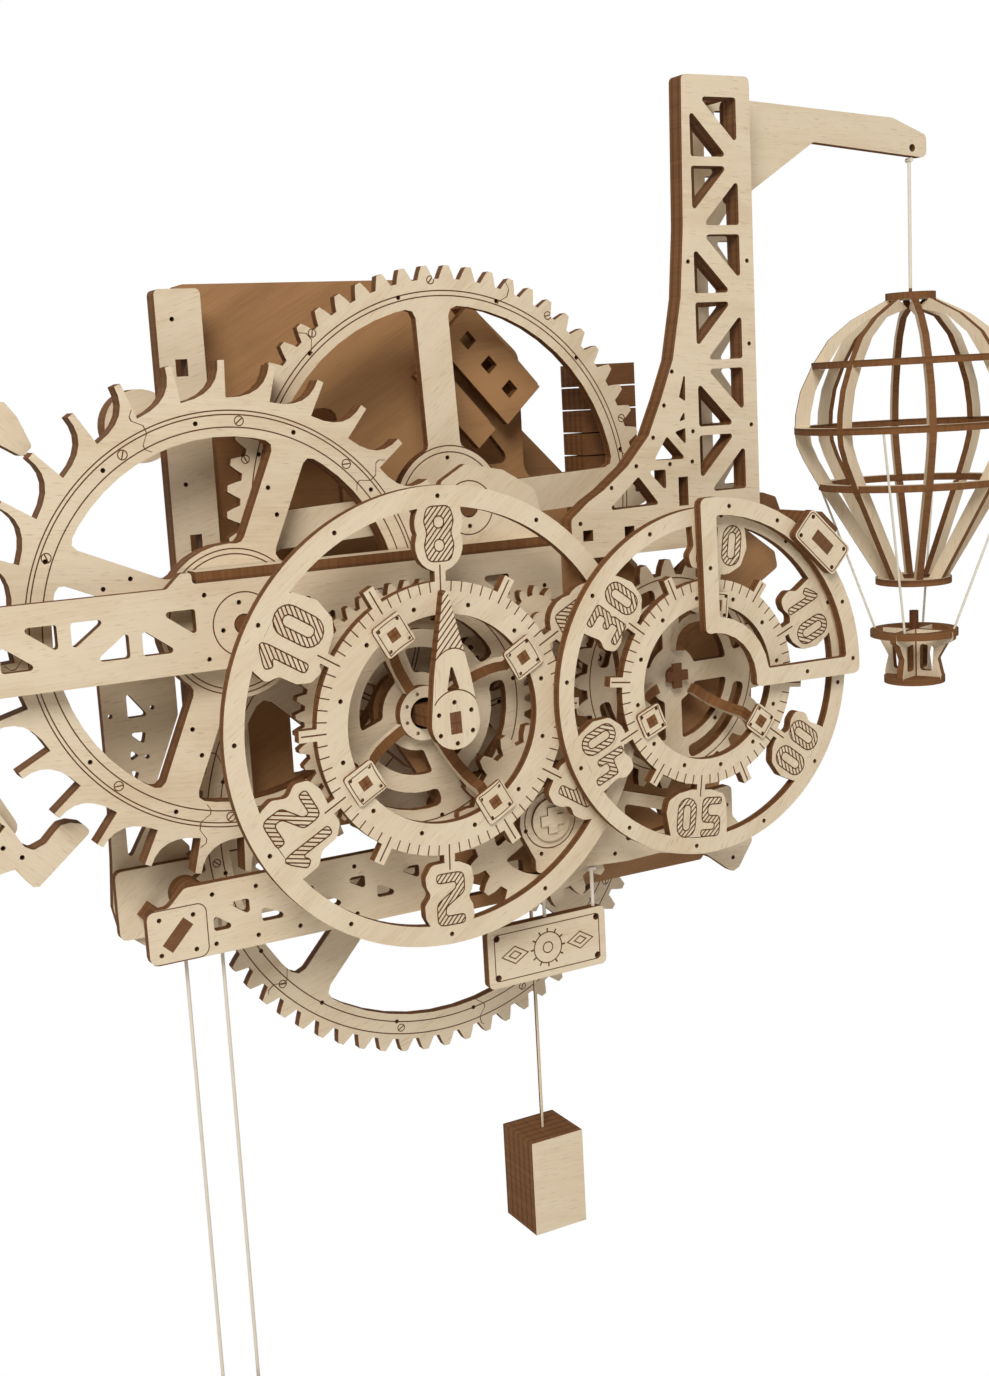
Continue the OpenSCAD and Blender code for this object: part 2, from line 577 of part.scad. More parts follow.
module plaque_lobed() polygon(concat([[6.2, 58.4]], arc([0, lobe_z[1]], lobe_r, 30, -lobe_a, 5),
    arc([0, lobe_z[0]], lobe_r, lobe_a - 4, -184 - lobe_a + 8, 14),
    arc([0, lobe_z[1]], lobe_r, 180 + lobe_a, 150, 5), [[-6.2, 58.4]]));
module plaque_cut(list) polygon(rounded(from_polar(list), 2, 3));
module plaque(i) {
    if (i == 1) plaque_cut(plaque_ten);
    else if (i == 2) plaque_cut(plaque_twelve);
    else if (i == 3 || i == 4) plaque_cut(plaque_twin);
    else plaque_lobed();
    translate([0, 39.4]) square([3.2, 5.6], center = true);
}
hour_scale_out = hour_scale_r + hour_scale_w / 2;
module hour_dial() color(birch) seat() difference() {
    plate(hour_y) rotate(hour_phase) {
        band(hour_c, hour_ring_r - hour_ring_w / 2, hour_ring_r + hour_ring_w / 2);
        band(hour_c, hour_scale_r - hour_scale_w / 2, hour_scale_out);
        for (i = [0:5]) rotate(60 * i) plaque(i);
        for (i = [0:5]) rotate(60 * i + 30) translate([0, hour_scale_out + 2]) square([3.2, 6], center = true);
    }
    holes(concat(ring_points(hour_c, hour_ring_r, 12, 90 + hour_phase),
        ring_points(hour_c, 31.4, 12, 105 + hour_phase)), hour_y);
}
hour_cap_r = 28.4;
hour_cap_a = [for (i = [0:3]) [29.5, 119.5, 208.5, 298.5][i]];
cap_size = 9.4;
cap_peg = 3.2;
module caps(c, r, angles, size, y) difference() {
    plate(y - cap_t, cap_t) for (a = angles) at(c + r * along(a), a) difference() {
        polygon(rounded(box_pts(size, size), 1));
        square([cap_peg, cap_peg], center = true);
    }
    for (a = angles) holes([for (k = [0:3]) c + r * along(a) + size * 0.48 * along(a + 45 + 90 * k)],
        y - cap_t, cap_t, pin_r * 0.8);
}
module hour_caps() color(birch) seat() caps(hour_c, hour_cap_r, hour_cap_a, cap_size, hour_y);

// Arms lie in planes through the axis and sweep from the scale ring back to the hub
function arm_pts(r_out, r_hub, y0, y1, y2) = concat(
    [[r_out + 3, y0], [r_out + 3, y0 + 1.4]],
    [for (i = [0:5]) [r_hub + (r_out - 3 - r_hub) * cos(90 * i / 5), y0 + 3 + (y2 - y0 - 3) * sin(90 * i / 5)]],
    [[r_hub, y1], [r_hub + 2, y1]],
    [for (i = [5:-1:1]) [r_hub + 2 + (r_out - 7 - r_hub) * cos(90 * i / 5), y0 + (y1 - y0) * sin(90 * i / 5)]],
    [[r_out - 4.6, y0]]);
module arms(c, angles, r_out, r_hub, y0, y1, y2) for (a = angles)
    translate([c[0], 0, c[1]]) rotate([0, -a, 0]) translate([0, 0, -ply / 2])
        linear_extrude(height = ply) polygon(arm_pts(r_out, r_hub, y0, y1, y2));
hub_r = 7.6;
sleeve_r = 6.6;
module hour_arms() color(birch) seat() {
    arms(hour_c, hour_cap_a, hour_cap_r, hub_r, hour_y + ply, 12.2, front_gear_y + 2);
    for (a = hour_cap_a) peg(hour_cap_r * along(a), a, cap_peg, cap_peg, hour_y - cap_t, hour_y);
}
module hour_hub() color(birch) seat() difference() {
    union() {
        bar(hour_c, 12, 12 + ply, hub_r);
        bar(hour_c, 12 + ply, beam_y - run_gap, sleeve_r);
    }
    bar(hour_c, 11, beam_y, post_w * 0.707 + 0.6);
    for (p = ring_points(hour_c, 5.9, 8, 20)) bar(p, 11, 12.8, pin_r * 0.8);
}
module hour_gear() color(birch) seat() difference() {
    plate(hour_gear_y) difference() {
        polygon(gear_pts(hour_teeth, hour_m, hour_gear_phase));
        disc(hour_c, sleeve_r);
        spoke_cuts(11, 18, 4, 6, 20, 1.5);
        for (i = [0:3]) polygon(rounded(concat(arc([0, 0], 23, 90 * i + 28, 90 * i + 102, 8),
            arc([0, 0], 28, 90 * i + 102, 90 * i + 28, 8)), 1.6, 2));
    }
    holes(ring_points(hour_c, 31, 8, 10), hour_gear_y);
}

// ---- minute dial ----
minute_in = minute_ring_r - minute_ring_w / 2;
plaque_tens = [[46.6, -10], [45, -11.4], [40.5, -14.2], [35, -13.6], [32, -8], [31.2, -3.4], [34.3, 5.4],
    [33.2, 10], [34, 15.4], [37.8, 15.9], [40, 12.8], [45.1, 12.7], [46.6, 12.4]];
plaque_fifty = [[46.6, -11.6], [45.1, -12.5], [39.8, -16.9], [36.1, -17.7], [33.3, -13.3], [31.6, -6],
    [31.8, 7], [34, 14.4], [37.2, 15], [44.7, 13.6], [46.6, 13]];
module plaque_minute(i) {
    plaque_cut(i == 3 ? plaque_fifty : plaque_tens);
    translate([0, 31.6]) square([2.8, 6], center = true);
}
minute_scale_out = minute_scale_r + minute_scale_w / 2;
module minute_dial() color(birch) seat() difference() {
    plate(minute_y) at(minute_c, minute_phase) {
        band([0, 0], minute_in, minute_ring_r + minute_ring_w / 2);
        band([0, 0], minute_scale_r - minute_scale_w / 2, minute_scale_out);
        for (i = [0:5]) rotate(60 * i) plaque_minute(i);
        for (i = [0:5]) rotate(60 * i + 30) translate([0, minute_scale_out + 1.6]) square([2.8, 5], center = true);
    }
    holes(concat(ring_points(minute_c, minute_ring_r, 12, 90 + minute_phase),
        ring_points(minute_c, 25, 12, 105 + minute_phase)), minute_y);
}
minute_cap_a = [for (i = [0:2]) 82 + 120 * i];
minute_cap_r = 22.4;
minute_cap_size = 8;
module minute_caps() color(birch) seat() caps(minute_c, minute_cap_r, minute_cap_a, minute_cap_size, minute_y);
module minute_arms() color(birch) seat() {
    arms(minute_c, minute_cap_a, minute_cap_r, hub_r, minute_y + ply, front_gear_y - 3, front_gear_y);
    for (a = minute_cap_a) peg(minute_c + minute_cap_r * along(a), a, cap_peg, cap_peg, minute_y - cap_t, minute_y);
}
module minute_gear() color(birch) seat() difference() {
    plate(front_gear_y) at(minute_c) difference() {
        polygon(gear_pts(minute_teeth, minute_m, minute_gear_phase));
        circle(r = arbor_r);
        spoke_cuts(8.5, 20, 4, 6, 0, 2);
        for (i = [0:3]) polygon(rounded(concat(arc([0, 0], 23, 90 * i + 12, 90 * i + 78, 8),
            arc([0, 0], 27, 90 * i + 78, 90 * i + 12, 8)), 1.4, 2));
    }
    holes(ring_points(minute_c, 21.5, 4, 45), front_gear_y);
}
module cross_bar(c, y0, y1, l, w) {
    peg(c, 0, l, w, y0, y1);
    peg(c, 90, l, w, y0, y1);
}
module minute_arbor() color(birch_dark) seat() {
    bar(minute_c, front_gear_y - 2, minute_back_y + ply, arbor_r);
    cross_bar(minute_c, front_gear_y - 3, front_gear_y - 2, 7.4, 3);
}
module minute_pinion() color(birch) seat() plate(relay_y) at(minute_c) difference() {
    polygon(gear_pts(small_leaves, small_m, 0));
    circle(r = arbor_r);
}

// ---- relay and idlers between the dials ----
module relay_arbor() color(birch) seat() {
    bar(relay_c, hour_gear_y - 2, relay_y + ply, arbor_r);
    plate(hour_gear_y) at(relay_c) difference() {
        polygon(gear_pts(relay_leaves, hour_m, relay_pinion_phase));
        circle(r = arbor_r);
    }
}
module relay_wheel() color(birch) seat() plate(relay_y) at(relay_c) difference() {
    polygon(gear_pts(relay_teeth, small_m, relay_wheel_phase));
    circle(r = arbor_r);
    spoke_cuts(6, 13, 4, 4, 0, 1.5);
}
module idler(c, phase) color(birch) seat() {
    plate(relay_y) at(c) polygon(gear_pts(small_leaves, small_m, phase));
    bar(c, beam_y, relay_y, arbor_r);
}
module idler_a() idler(idler_a_c, idler_a_phase);
module idler_b() idler(idler_b_c, idler_b_phase);

// ---- transfer arbor between great wheel and minute gear ----
module transfer_arbor() color(birch) seat() {
    bar(transfer_c, bridge_y, cord_y + 8, arbor_r);
    bar(transfer_c, bridge_y - 1, bridge_y, 6.3);
    cross_bar(transfer_c, bridge_y - 1.6, bridge_y - 1, 7.6, 3);
    difference() {
        bar(transfer_c, cord_y, cord_y + 5, wind_drum_r);
        bar(transfer_c, cord_y - 1, cord_y + 6, arbor_r);
    }
}
module transfer_front_wheel() color(birch) seat() plate(front_gear_y) at(transfer_c) difference() {
    polygon(gear_pts(transfer_front_teeth, minute_m, transfer_front_phase));
    circle(r = arbor_r);
    spoke_cuts(8, 17, 4, 5, 30, 2);
}
module transfer_rear_wheel() color(birch) seat() plate(relay_y) at(transfer_c) difference() {
    polygon(gear_pts(transfer_rear_teeth, transfer_m, transfer_rear_phase));
    circle(r = arbor_r);
}

// ---- great wheel ----
great_spoke_a = 48;
module great_wheel() color(birch) seat() difference() {
    plate(great_y) at(great_c) difference() {
        polygon(gear_pts(great_teeth, second_m, great_phase));
        circle(r = arbor_r);
        spoke_cuts(19, 65, 4, 9.8, great_spoke_a, 4);
    }
    holes(concat(ring_points(great_c, 67.2, 16, 8), ring_points(great_c, 15, 6, 0)), great_y);
}
module great_arbor() color(birch_dark) seat() {
    bar(great_c, beam_y, rear_y + ply, arbor_r);
    difference() {
        bar(great_c, great_y + ply, rear_frame_y + ply + 7 * run_gap, great_drum_r);
        bar(great_c, great_y + ply - 1, rear_frame_y + 3 * ply, arbor_r);
    }
    plate(relay_y) at(great_c) difference() {
        polygon(gear_pts(great_leaves, transfer_m, 0));
        circle(r = arbor_r);
    }
}

// ---- second wheel ----
module second_wheel() color(birch) seat() difference() {
    plate(second_y) at(second_c) difference() {
        polygon(gear_pts(second_teeth, escape_m, second_phase));
        circle(r = arbor_r);
        spoke_cuts(17.6, 57, 4, 10.4, 2.5, 4);
    }
    holes(concat(ring_points(second_c, 60.6, 12, 12), ring_points(second_c, 14, 4, 0)), second_y);
}
module second_pinion() color(birch_dark) seat() {
    bar(second_c, relay_y, rear_y + ply, arbor_r);
    plate(great_y) at(second_c) difference() {
        polygon(gear_pts(second_leaves, second_m, second_pinion_phase));
        circle(r = arbor_r);
    }
}

// ---- escape wheel ----
escape_pitch = 360 / escape_teeth;
escape_phase = 3.7;
escape_root = escape_tip_r - escape_tooth;
escape_land = 1.5;
// One tooth: a radial leading face, a narrow land and a hollow back
function escape_tooth_pts(a) = concat(
    [escape_root * along(a), escape_tip_r * along(a), escape_tip_r * along(a + escape_land)],
    [for (i = [1:6]) let (t = 90 * i / 6)
        (escape_tip_r - escape_tooth * sin(t)) * along(a + escape_land
            + (escape_pitch - escape_land - 0.6) * pow(1 - cos(t), 1.25))]);
module escape_wheel() color(birch) seat() difference() {
    plate(escape_y, escape_t) at(escape_c) difference() {
        polygon([for (i = [0:escape_teeth - 1]) each escape_tooth_pts(escape_phase + escape_pitch * i)]);
        circle(r = arbor_r);
        spoke_cuts(21, 49.2, 4, 9.6, 66.5, 3);
    }
    holes(concat(ring_points(escape_c, 53.3, 12, 7), [for (i = [0:3], s = [-1, 1])
        escape_c + (34 + 3 * s) * along(66.5 + 90 * i + 4 * s)]), escape_y, escape_t);
}
module escape_pinion() color(birch_dark) seat() {
    difference() {
        bar(escape_c, beam_y, rear_y + ply, arbor_r);
    }
    plate(second_y) at(escape_c) difference() {
        polygon(gear_pts(escape_leaves, escape_m, escape_pinion_phase));
        circle(r = arbor_r);
    }
}

// ---- anchor, pallets, pendulum ----
pallet_y = escape_y + escape_t + run_gap;
anchor_y = pallet_y + 2 * ply;
module anchor() color(birch) seat() {
    bar(anchor_c, beam_y, anchor_y + ply, arbor_r);
    difference() {
        plate(anchor_y) polygon(rounded([[-152, 26], [-140, 14], [-124, -12], [-112, -26], [-106, -20],
            [-112, -8], [-128, 22], [-130, 36], [-122, 60], [-106, 80], [-110, 88], [-120, 86],
            [-140, 56], [-152, 34]], 3));
        bar(anchor_c, anchor_y - 1, anchor_y + ply + 1, arbor_r);
    }
}
module pallets() color(birch) seat() difference() {
    plate(pallet_y, 2 * ply) {
        polygon(rounded([[-121, -4], [-117, -6], [-109.3, -19.1], [-106.8, -23.8], [-104.5, -25.2], [-101.2, -24],
            [-98.6, -21.4], [-96.8, -19.8], [-94.2, -19.5], [-90.9, -20.5], [-89, -22.8], [-104, -35.3],
            [-105.6, -35], [-109.7, -29.4], [-113.4, -30], [-124, -36], [-128, -22]], 1.2));
        polygon(concat(arc([-112, 76], 13, 110, 10, 10), [[-95.2, 76.4], [-103, 80.2], [-108, 83.6], [-120, 80]]));
        polygon(rounded([[-106, 82], [-97, 76.4], [-94.4, 78.8], [-97.4, 86.4], [-100.4, 90.4], [-107, 90]], 1));
    }
    peg([-114.4, -18.6], 45, 6, 3.4, pallet_y, pallet_y + ply);
    holes([[-114.4, -10.6], [-112.2, -23.3], [-107.6, -26.6], [-119, -14], [-112, 85.4]], pallet_y, 2 * ply);
}
rod_w = 8;
module pendulum() color(birch) seat() {
    c = anchor_c - [0, pendulum_len];
    difference() {
        plate(anchor_y + ply) union() {
            polygon(rounded([anchor_c + [-rod_w, 10], anchor_c + [-rod_w / 2, -14], c + [-rod_w / 2, 0],
                c + [rod_w / 2, 0], anchor_c + [rod_w / 2, -14], anchor_c + [rod_w, 10]], 1.5));
            disc(c, bob_r);
        }
        bar(anchor_c, anchor_y, anchor_y + 3 * ply, arbor_r);
    }
    bar(anchor_c, anchor_y + ply, anchor_y + 2 * ply + 2, arbor_r);
    bar(c, anchor_y + 2 * ply, anchor_y + 4 * ply, bob_r - 5);
}

// ---- weights and cords ----
cord_r = 0.55;
weight_x = -63;
cord_gap = 5.2;
cord_top = -46;
weight_top = -190;
module weight_cords() color(cord_white) seat() for (s = [-1, 1])
    translate([weight_x + s * cord_gap, cord_y, weight_top]) cylinder(h = cord_top - weight_top, r = cord_r, $fn = 10);
module drive_weight() color(birch) seat() {
    translate([weight_x - weight_w / 2, cord_y - weight_w / 2, weight_top - 16 - weight_h])
        cube([weight_w, weight_w, weight_h]);
    translate([weight_x, cord_y, weight_top - 8]) rotate([90, 0, 0]) translate([0, 0, -1])
        cylinder(h = 2, r = cord_gap + cord_r);
    for (s = [-1, 1]) translate([weight_x - 4, cord_y + s * 3 - 1, weight_top - 16]) cube([8, 2, 14]);
}
counter_x = transfer_c[0] + wind_drum_r + 0.6;
counter_top = -140;
counter_w = 18;
counter_h = 30;
module counterweight() color(birch) seat() {
    translate([counter_x, cord_y + 2.5, counter_top]) cylinder(h = transfer_c[1] + 30 - counter_top, r = cord_r, $fn = 10);
    translate([counter_x - counter_w / 2, cord_y + 2.5 - counter_w / 2, counter_top - counter_h])
        cube([counter_w, counter_w, counter_h]);
}

sign_box = [[13.8, -82.6], [53.4, -64.8]];
sign_top = -53.4;
// A cord ends in a small round knot
knot_r = 0.7;
knot_w = 2.4;
module sign_plate() color(birch) seat() {
    w = sign_box[1] - sign_box[0];
    difference() {
        plate(bridge_y) translate((sign_box[0] + sign_box[1]) / 2) polygon(rounded(box_pts(w[0], w[1]), 1.6));
        holes([for (x = [sign_box[0][0] + 3, sign_box[1][0] - 3], z = [sign_box[0][1] + 3, sign_box[1][1] - 3])
            [x, z]], bridge_y, ply, 1);
    }
    for (x = [sign_box[0][0] + 20, sign_box[1][0] - 3])
        translate([x, bridge_y + ply / 2, sign_box[1][1] - 1])
            cylinder(h = sign_top - sign_box[1][1] + 1, r = cord_r, $fn = 10);
    for (x = [sign_box[0][0] + 20, sign_box[1][0] - 3])
        translate([x - knot_w / 2, bridge_y + ply / 2, sign_top]) rotate([0, 90, 0]) cylinder(h = knot_w, r = knot_r);
}

// ---- balloon ----
balloon_z = 67.6;
balloon_knot_z = arm_z - 4.6;
balloon_ribs_n = 8;
balloon_rings_z = [49, balloon_z, 88.4];
ring_r = balloon_r * [0.8, 1, 0.842];
ring_w = 5;
ring_lap = 2;
snug = 0.06;
collar_z = 18;
collar_r = 11.6;
rib_w = 4.8;
crown_z = 108;
// Outer profile of a rib, from the collar to the crown
rib_curve = [[0.45, 27], [0.6, 36.5], [0.8, 49], [0.93, 58], [0.985, 63], [1, balloon_z], [0.99, 73],
    [0.945, 80.4], [0.842, 88.4], [0.7, 96.5], [0.5, 102.5]];
function rib_line(k) = concat([[collar_r - k, collar_z]], [for (p = rib_curve) [p[0] * balloon_r - k, p[1]]],
    [[max(balloon_ply * 1.4, 8 - k), crown_z - k * 0.6]]);
module balloon_ribs() color(birch) seat() translate([balloon_c[0], balloon_c[1], 0]) for (i = [0:balloon_ribs_n - 1])
    rotate(360 / balloon_ribs_n * i + 12) rotate([90, 0, 0]) translate([0, 0, -balloon_ply / 2])
        linear_extrude(height = balloon_ply) difference() {
            polygon(concat(rib_line(0), [for (k = [len(rib_curve) + 1:-1:0]) rib_line(rib_w)[k]]));
            for (i = [0:2]) translate([ring_r[i] - ring_lap - 8 + snug, balloon_rings_z[i] - balloon_ply / 2 - snug / 2])
                square([8, balloon_ply + snug]);
        }
module balloon_rings() color(birch) seat() translate([balloon_c[0], balloon_c[1], 0]) {
    for (i = [0:2]) translate([0, 0, balloon_rings_z[i] - balloon_ply / 2]) difference() {
        cylinder(h = balloon_ply, r = ring_r[i]);
        translate([0, 0, -1]) cylinder(h = balloon_ply + 2, r = ring_r[i] - ring_w + 1);
        for (k = [0:balloon_ribs_n - 1]) rotate(360 / balloon_ribs_n * k + 12)
            translate([ring_r[i] - ring_lap, -balloon_ply / 2, -1]) cube([ring_w, balloon_ply, balloon_ply + 2]);
    }
    translate([0, 0, collar_z - balloon_ply]) difference() {
        cylinder(h = balloon_ply, r = collar_r + 0.8);
        translate([0, 0, -1]) cylinder(h = balloon_ply + 2, r = collar_r - 5);
    }
    translate([0, 0, crown_z]) cylinder(h = balloon_ply, r = 8);
    translate([0, 0, crown_z + balloon_ply]) cylinder(h = balloon_knot_z - crown_z - balloon_ply, r = cord_r, $fn = 10);
    bar([0, balloon_knot_z], -knot_w / 2, knot_w / 2, knot_r);
}
basket_rim = 0.4;
basket_bottom = -17.5;
string_r = 13.2;
ring_under = balloon_z - balloon_ply / 2;
string_lean = atan2(balloon_r - 0.2 - string_r, ring_under - basket_rim);
module balloon_basket() color(birch) seat() translate([balloon_c[0], balloon_c[1], 0]) {
    for (a = [20, 110]) rotate([0, 0, a]) rotate([90, 0, 0]) translate([0, 0, -balloon_ply / 2])
        linear_extrude(height = balloon_ply) difference() {
            polygon(rounded([[-9.6, basket_bottom], [9.6, basket_bottom], [10.4, basket_bottom + 3],
                [9, -9], [12, -4], [14.6, -2.6], [14.6, 0.4], [-14.6, 0.4], [-14.6, -2.6], [-12, -4],
                [-9, -9], [-10.4, basket_bottom + 3]], 0.8));
            for (s = [-1, 1]) polygon(rounded([[s * 2.6, -4.4], [s * 2.6, -13.4], [s * 7, -13.4], [s * 7.6, -5]], 1));
            if (a == 20) translate([-balloon_ply / 2, -9]) square([balloon_ply, 20]);
            else translate([-balloon_ply / 2, -20]) square([balloon_ply, 11]);
        }
    translate([0, 0, basket_rim - balloon_ply]) difference() {
        cylinder(h = balloon_ply, r = 14.4);
        translate([0, 0, -1]) cylinder(h = balloon_ply + 2, r = 11);
    }
    translate([0, 0, basket_bottom]) cylinder(h = balloon_ply, r = 10);
    translate([0, 0, basket_bottom + 1]) cylinder(h = 23, r = 1.5);
    for (s = [0:3]) rotate(34.5 + 90 * s) translate([string_r, 0, basket_rim]) rotate([0, string_lean, 0])
        cylinder(h = (ring_under - basket_rim) / cos(string_lean), r = 0.4, $fn = 8);
}

upper_beam();
upper_beam_top();
lower_beam();
lower_rear_beam();
cross_tie();
dial_bridge();
bridge_spacers();
right_plate();
minute_bearing();
tower_front();
tower_rear();
tower_ties();
left_post();
left_leg();
rear_plate();
wall_plate();
standoffs();
pointer();
pointer_post();
window_frame();
window_cap();
window_bracket();
wheel_bracket();
top_bracket();
laminated_column();
balloon_arm();
weight_cords();
hour_dial();
hour_caps();
hour_arms();
hour_hub();
hour_gear();
minute_dial();
minute_caps();
minute_arms();
minute_gear();
minute_arbor();
minute_pinion();
relay_arbor();
relay_wheel();
idler_a();
idler_b();
transfer_arbor();
transfer_front_wheel();
transfer_rear_wheel();
great_wheel();
great_arbor();
second_wheel();
second_pinion();
escape_wheel();
escape_pinion();
anchor();
pallets();
pendulum();
drive_weight();
counterweight();
sign_plate();
balloon_ribs();
balloon_rings();
balloon_basket();
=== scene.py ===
import math

import bpy
import bmesh
from mathutils import Matrix, Vector
from mathutils.geometry import tessellate_polygon


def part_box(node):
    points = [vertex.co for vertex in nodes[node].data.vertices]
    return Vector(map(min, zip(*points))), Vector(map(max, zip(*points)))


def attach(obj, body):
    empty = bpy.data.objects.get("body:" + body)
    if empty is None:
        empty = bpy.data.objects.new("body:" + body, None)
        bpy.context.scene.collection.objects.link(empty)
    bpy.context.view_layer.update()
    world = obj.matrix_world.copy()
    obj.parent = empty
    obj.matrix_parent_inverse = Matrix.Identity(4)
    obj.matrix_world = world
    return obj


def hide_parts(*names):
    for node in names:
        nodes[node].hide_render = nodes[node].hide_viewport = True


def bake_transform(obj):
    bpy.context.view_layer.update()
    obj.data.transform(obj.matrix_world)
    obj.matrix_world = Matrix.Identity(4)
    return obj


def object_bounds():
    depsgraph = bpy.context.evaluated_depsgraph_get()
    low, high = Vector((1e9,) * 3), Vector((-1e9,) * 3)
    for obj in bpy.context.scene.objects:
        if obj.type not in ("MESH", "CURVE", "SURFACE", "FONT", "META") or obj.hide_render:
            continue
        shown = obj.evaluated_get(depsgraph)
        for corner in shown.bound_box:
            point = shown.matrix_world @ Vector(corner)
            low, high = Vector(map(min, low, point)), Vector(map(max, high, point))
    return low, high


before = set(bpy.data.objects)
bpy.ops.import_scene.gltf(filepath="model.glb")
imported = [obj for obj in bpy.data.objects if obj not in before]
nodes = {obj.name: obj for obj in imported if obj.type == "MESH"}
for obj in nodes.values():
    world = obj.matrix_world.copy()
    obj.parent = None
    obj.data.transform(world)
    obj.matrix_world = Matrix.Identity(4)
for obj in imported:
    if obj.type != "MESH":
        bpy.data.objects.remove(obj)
frame_lo, frame_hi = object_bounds()
scene = bpy.context.scene

# ---------------------------------------------------------------------------
# Camera. It looks at the dials from the left and a little above, close enough
# that the arms, the pendulum and the top of the tower run out of view.
# ---------------------------------------------------------------------------
WALL = Vector((0, -0.095, -0.100))  # from the hour dial's centre to the screw hole


def at(x, y, z):
    """A point given in millimetres from the centre of the hour dial's front face."""
    return Vector((x, y, z)) * 0.001 + WALL


yaw, pitch, roll = (math.radians(a) for a in (28.499, -10.039, -3.121))
ahead = Vector((math.sin(yaw) * math.cos(pitch), math.cos(yaw) * math.cos(pitch), math.sin(pitch)))
level = Vector((math.cos(yaw), -math.sin(yaw), 0))
over = level.cross(ahead)
right = level * math.cos(roll) + over * math.sin(roll)
up = over * math.cos(roll) - level * math.sin(roll)
camera = bpy.data.objects.new("camera", bpy.data.cameras.new("camera"))
scene.collection.objects.link(camera)
turn = Matrix((right, up, -ahead)).transposed().to_4x4()
camera.matrix_world = Matrix.Translation(at(-202.76, -402.34, 87.57)) @ turn
camera.data.sensor_width = 36
camera.data.lens = 44.53
camera.data.clip_start = 0.01
scene.camera = camera

# ---------------------------------------------------------------------------
# Studio. A pale floor below the pendulum, a bright even surround and three large
# soft lights: one high on the left, one low on the right, one behind.
# ---------------------------------------------------------------------------
FLOOR_DROP = 0.05
FLOOR_R = 9.0


def linear(v):
    """One 0 to 255 screen value, made linear."""
    return v / 255 / 12.92 if v < 11 else ((v / 255 + 0.055) / 1.055) ** 2.4


def rgb(r, g, b):
    """A colour given as 0 to 255 screen values, made linear."""
    return linear(r), linear(g), linear(b), 1


floor_mesh = bmesh.new()
bmesh.ops.create_circle(floor_mesh, cap_ends=True, radius=FLOOR_R, segments=64)
floor_data = bpy.data.meshes.new("floor")
floor_mesh.to_mesh(floor_data)
floor = bpy.data.objects.new("floor", floor_data)
floor.location.z = frame_lo.z - FLOOR_DROP
scene.collection.objects.link(floor)
floor_paint = bpy.data.materials.new("floor")
floor_paint.use_nodes = True
paint = floor_paint.node_tree
matt = paint.nodes["Principled BSDF"]
matt.inputs["Base Color"].default_value = rgb(250, 249, 247)
matt.inputs["Roughness"].default_value = 0.9
glow = paint.nodes.new("ShaderNodeEmission")
glow.inputs["Strength"].default_value = 1.0
either = paint.nodes.new("ShaderNodeMixShader")
ray = paint.nodes.new("ShaderNodeLightPath")
paint.links.new(ray.outputs["Is Camera Ray"], either.inputs[0])
paint.links.new(matt.outputs[0], either.inputs[1])
paint.links.new(glow.outputs[0], either.inputs[2])
paint.links.new(either.outputs[0], paint.nodes["Material Output"].inputs["Surface"])
floor_data.materials.append(floor_paint)

# The camera sees a white surround; the object is lit by a dimmer, warmer one
world = bpy.data.worlds.new("surround")
world.use_nodes = True
sky = world.node_tree
seen = sky.nodes["Background"]
seen.inputs["Color"].default_value = (1, 1, 1, 1)
lit = sky.nodes.new("ShaderNodeBackground")
lit.inputs["Color"].default_value = (1, 0.94, 0.86, 1)
lit.inputs["Strength"].default_value = 0.2
pick = sky.nodes.new("ShaderNodeMixShader")
sky.links.new(sky.nodes.new("ShaderNodeLightPath").outputs["Is Camera Ray"], pick.inputs[0])
sky.links.new(lit.outputs[0], pick.inputs[1])
sky.links.new(seen.outputs[0], pick.inputs[2])
sky.links.new(pick.outputs[0], sky.nodes["World Output"].inputs["Surface"])
scene.world = world
scene.view_settings.view_transform = "Standard"


LAMP_TINT = (1, 0.97, 0.91)


def soft_light(name, place, size, power):
    """A square lamp of that size in metres and power in watts, aimed at the hour dial's centre."""
    lamp = bpy.data.lights.new(name, "AREA")
    lamp.size = size
    lamp.energy = power
    lamp.color = LAMP_TINT
    o = bpy.data.objects.new(name, lamp)
    o.location = place
    o.rotation_mode = "QUATERNION"
    o.rotation_quaternion = (at(0, 0, 0) - place).to_track_quat("-Z", "Y")
    scene.collection.objects.link(o)


soft_light("key", at(-700, -1000, 1000), 0.7, 19)
soft_light("fill", at(900, -1100, 100), 1.2, 2.0)
soft_light("back", at(-500, 1300, 700), 1.2, 5)

# ---------------------------------------------------------------------------
# Plywood. Every plate is 3 mm birch ply cut by laser: pale faces with fine
# grain and short flecks, browned edges that show the three veneers. The
# effect is one node group, placed in each plate's material with its own
# face direction, grain direction and front.
# ---------------------------------------------------------------------------
PLY = 0.003


def wire(tree, kind, values=(), **settings):
    """A shader node; each value is a number, a colour, a socket to link, or None."""
    n = tree.nodes.new(kind)
    for k, v in settings.items():
        setattr(n, k, v)
    for i, v in enumerate(values):
        if isinstance(v, bpy.types.NodeSocket):
            tree.links.new(v, n.inputs[i])
        elif v is not None:
            n.inputs[i].default_value = v
    return n


def num(tree, op, *values, clamp=False):
    """The result of a maths node."""
    return wire(tree, "ShaderNodeMath", values, operation=op, use_clamp=clamp).outputs[0]


def vec(tree, op, *values):
    """The result of a vector maths node."""
    n = wire(tree, "ShaderNodeVectorMath", values, operation=op)
    return n.outputs["Value"] if op in ("DOT_PRODUCT", "LENGTH") else n.outputs[0]


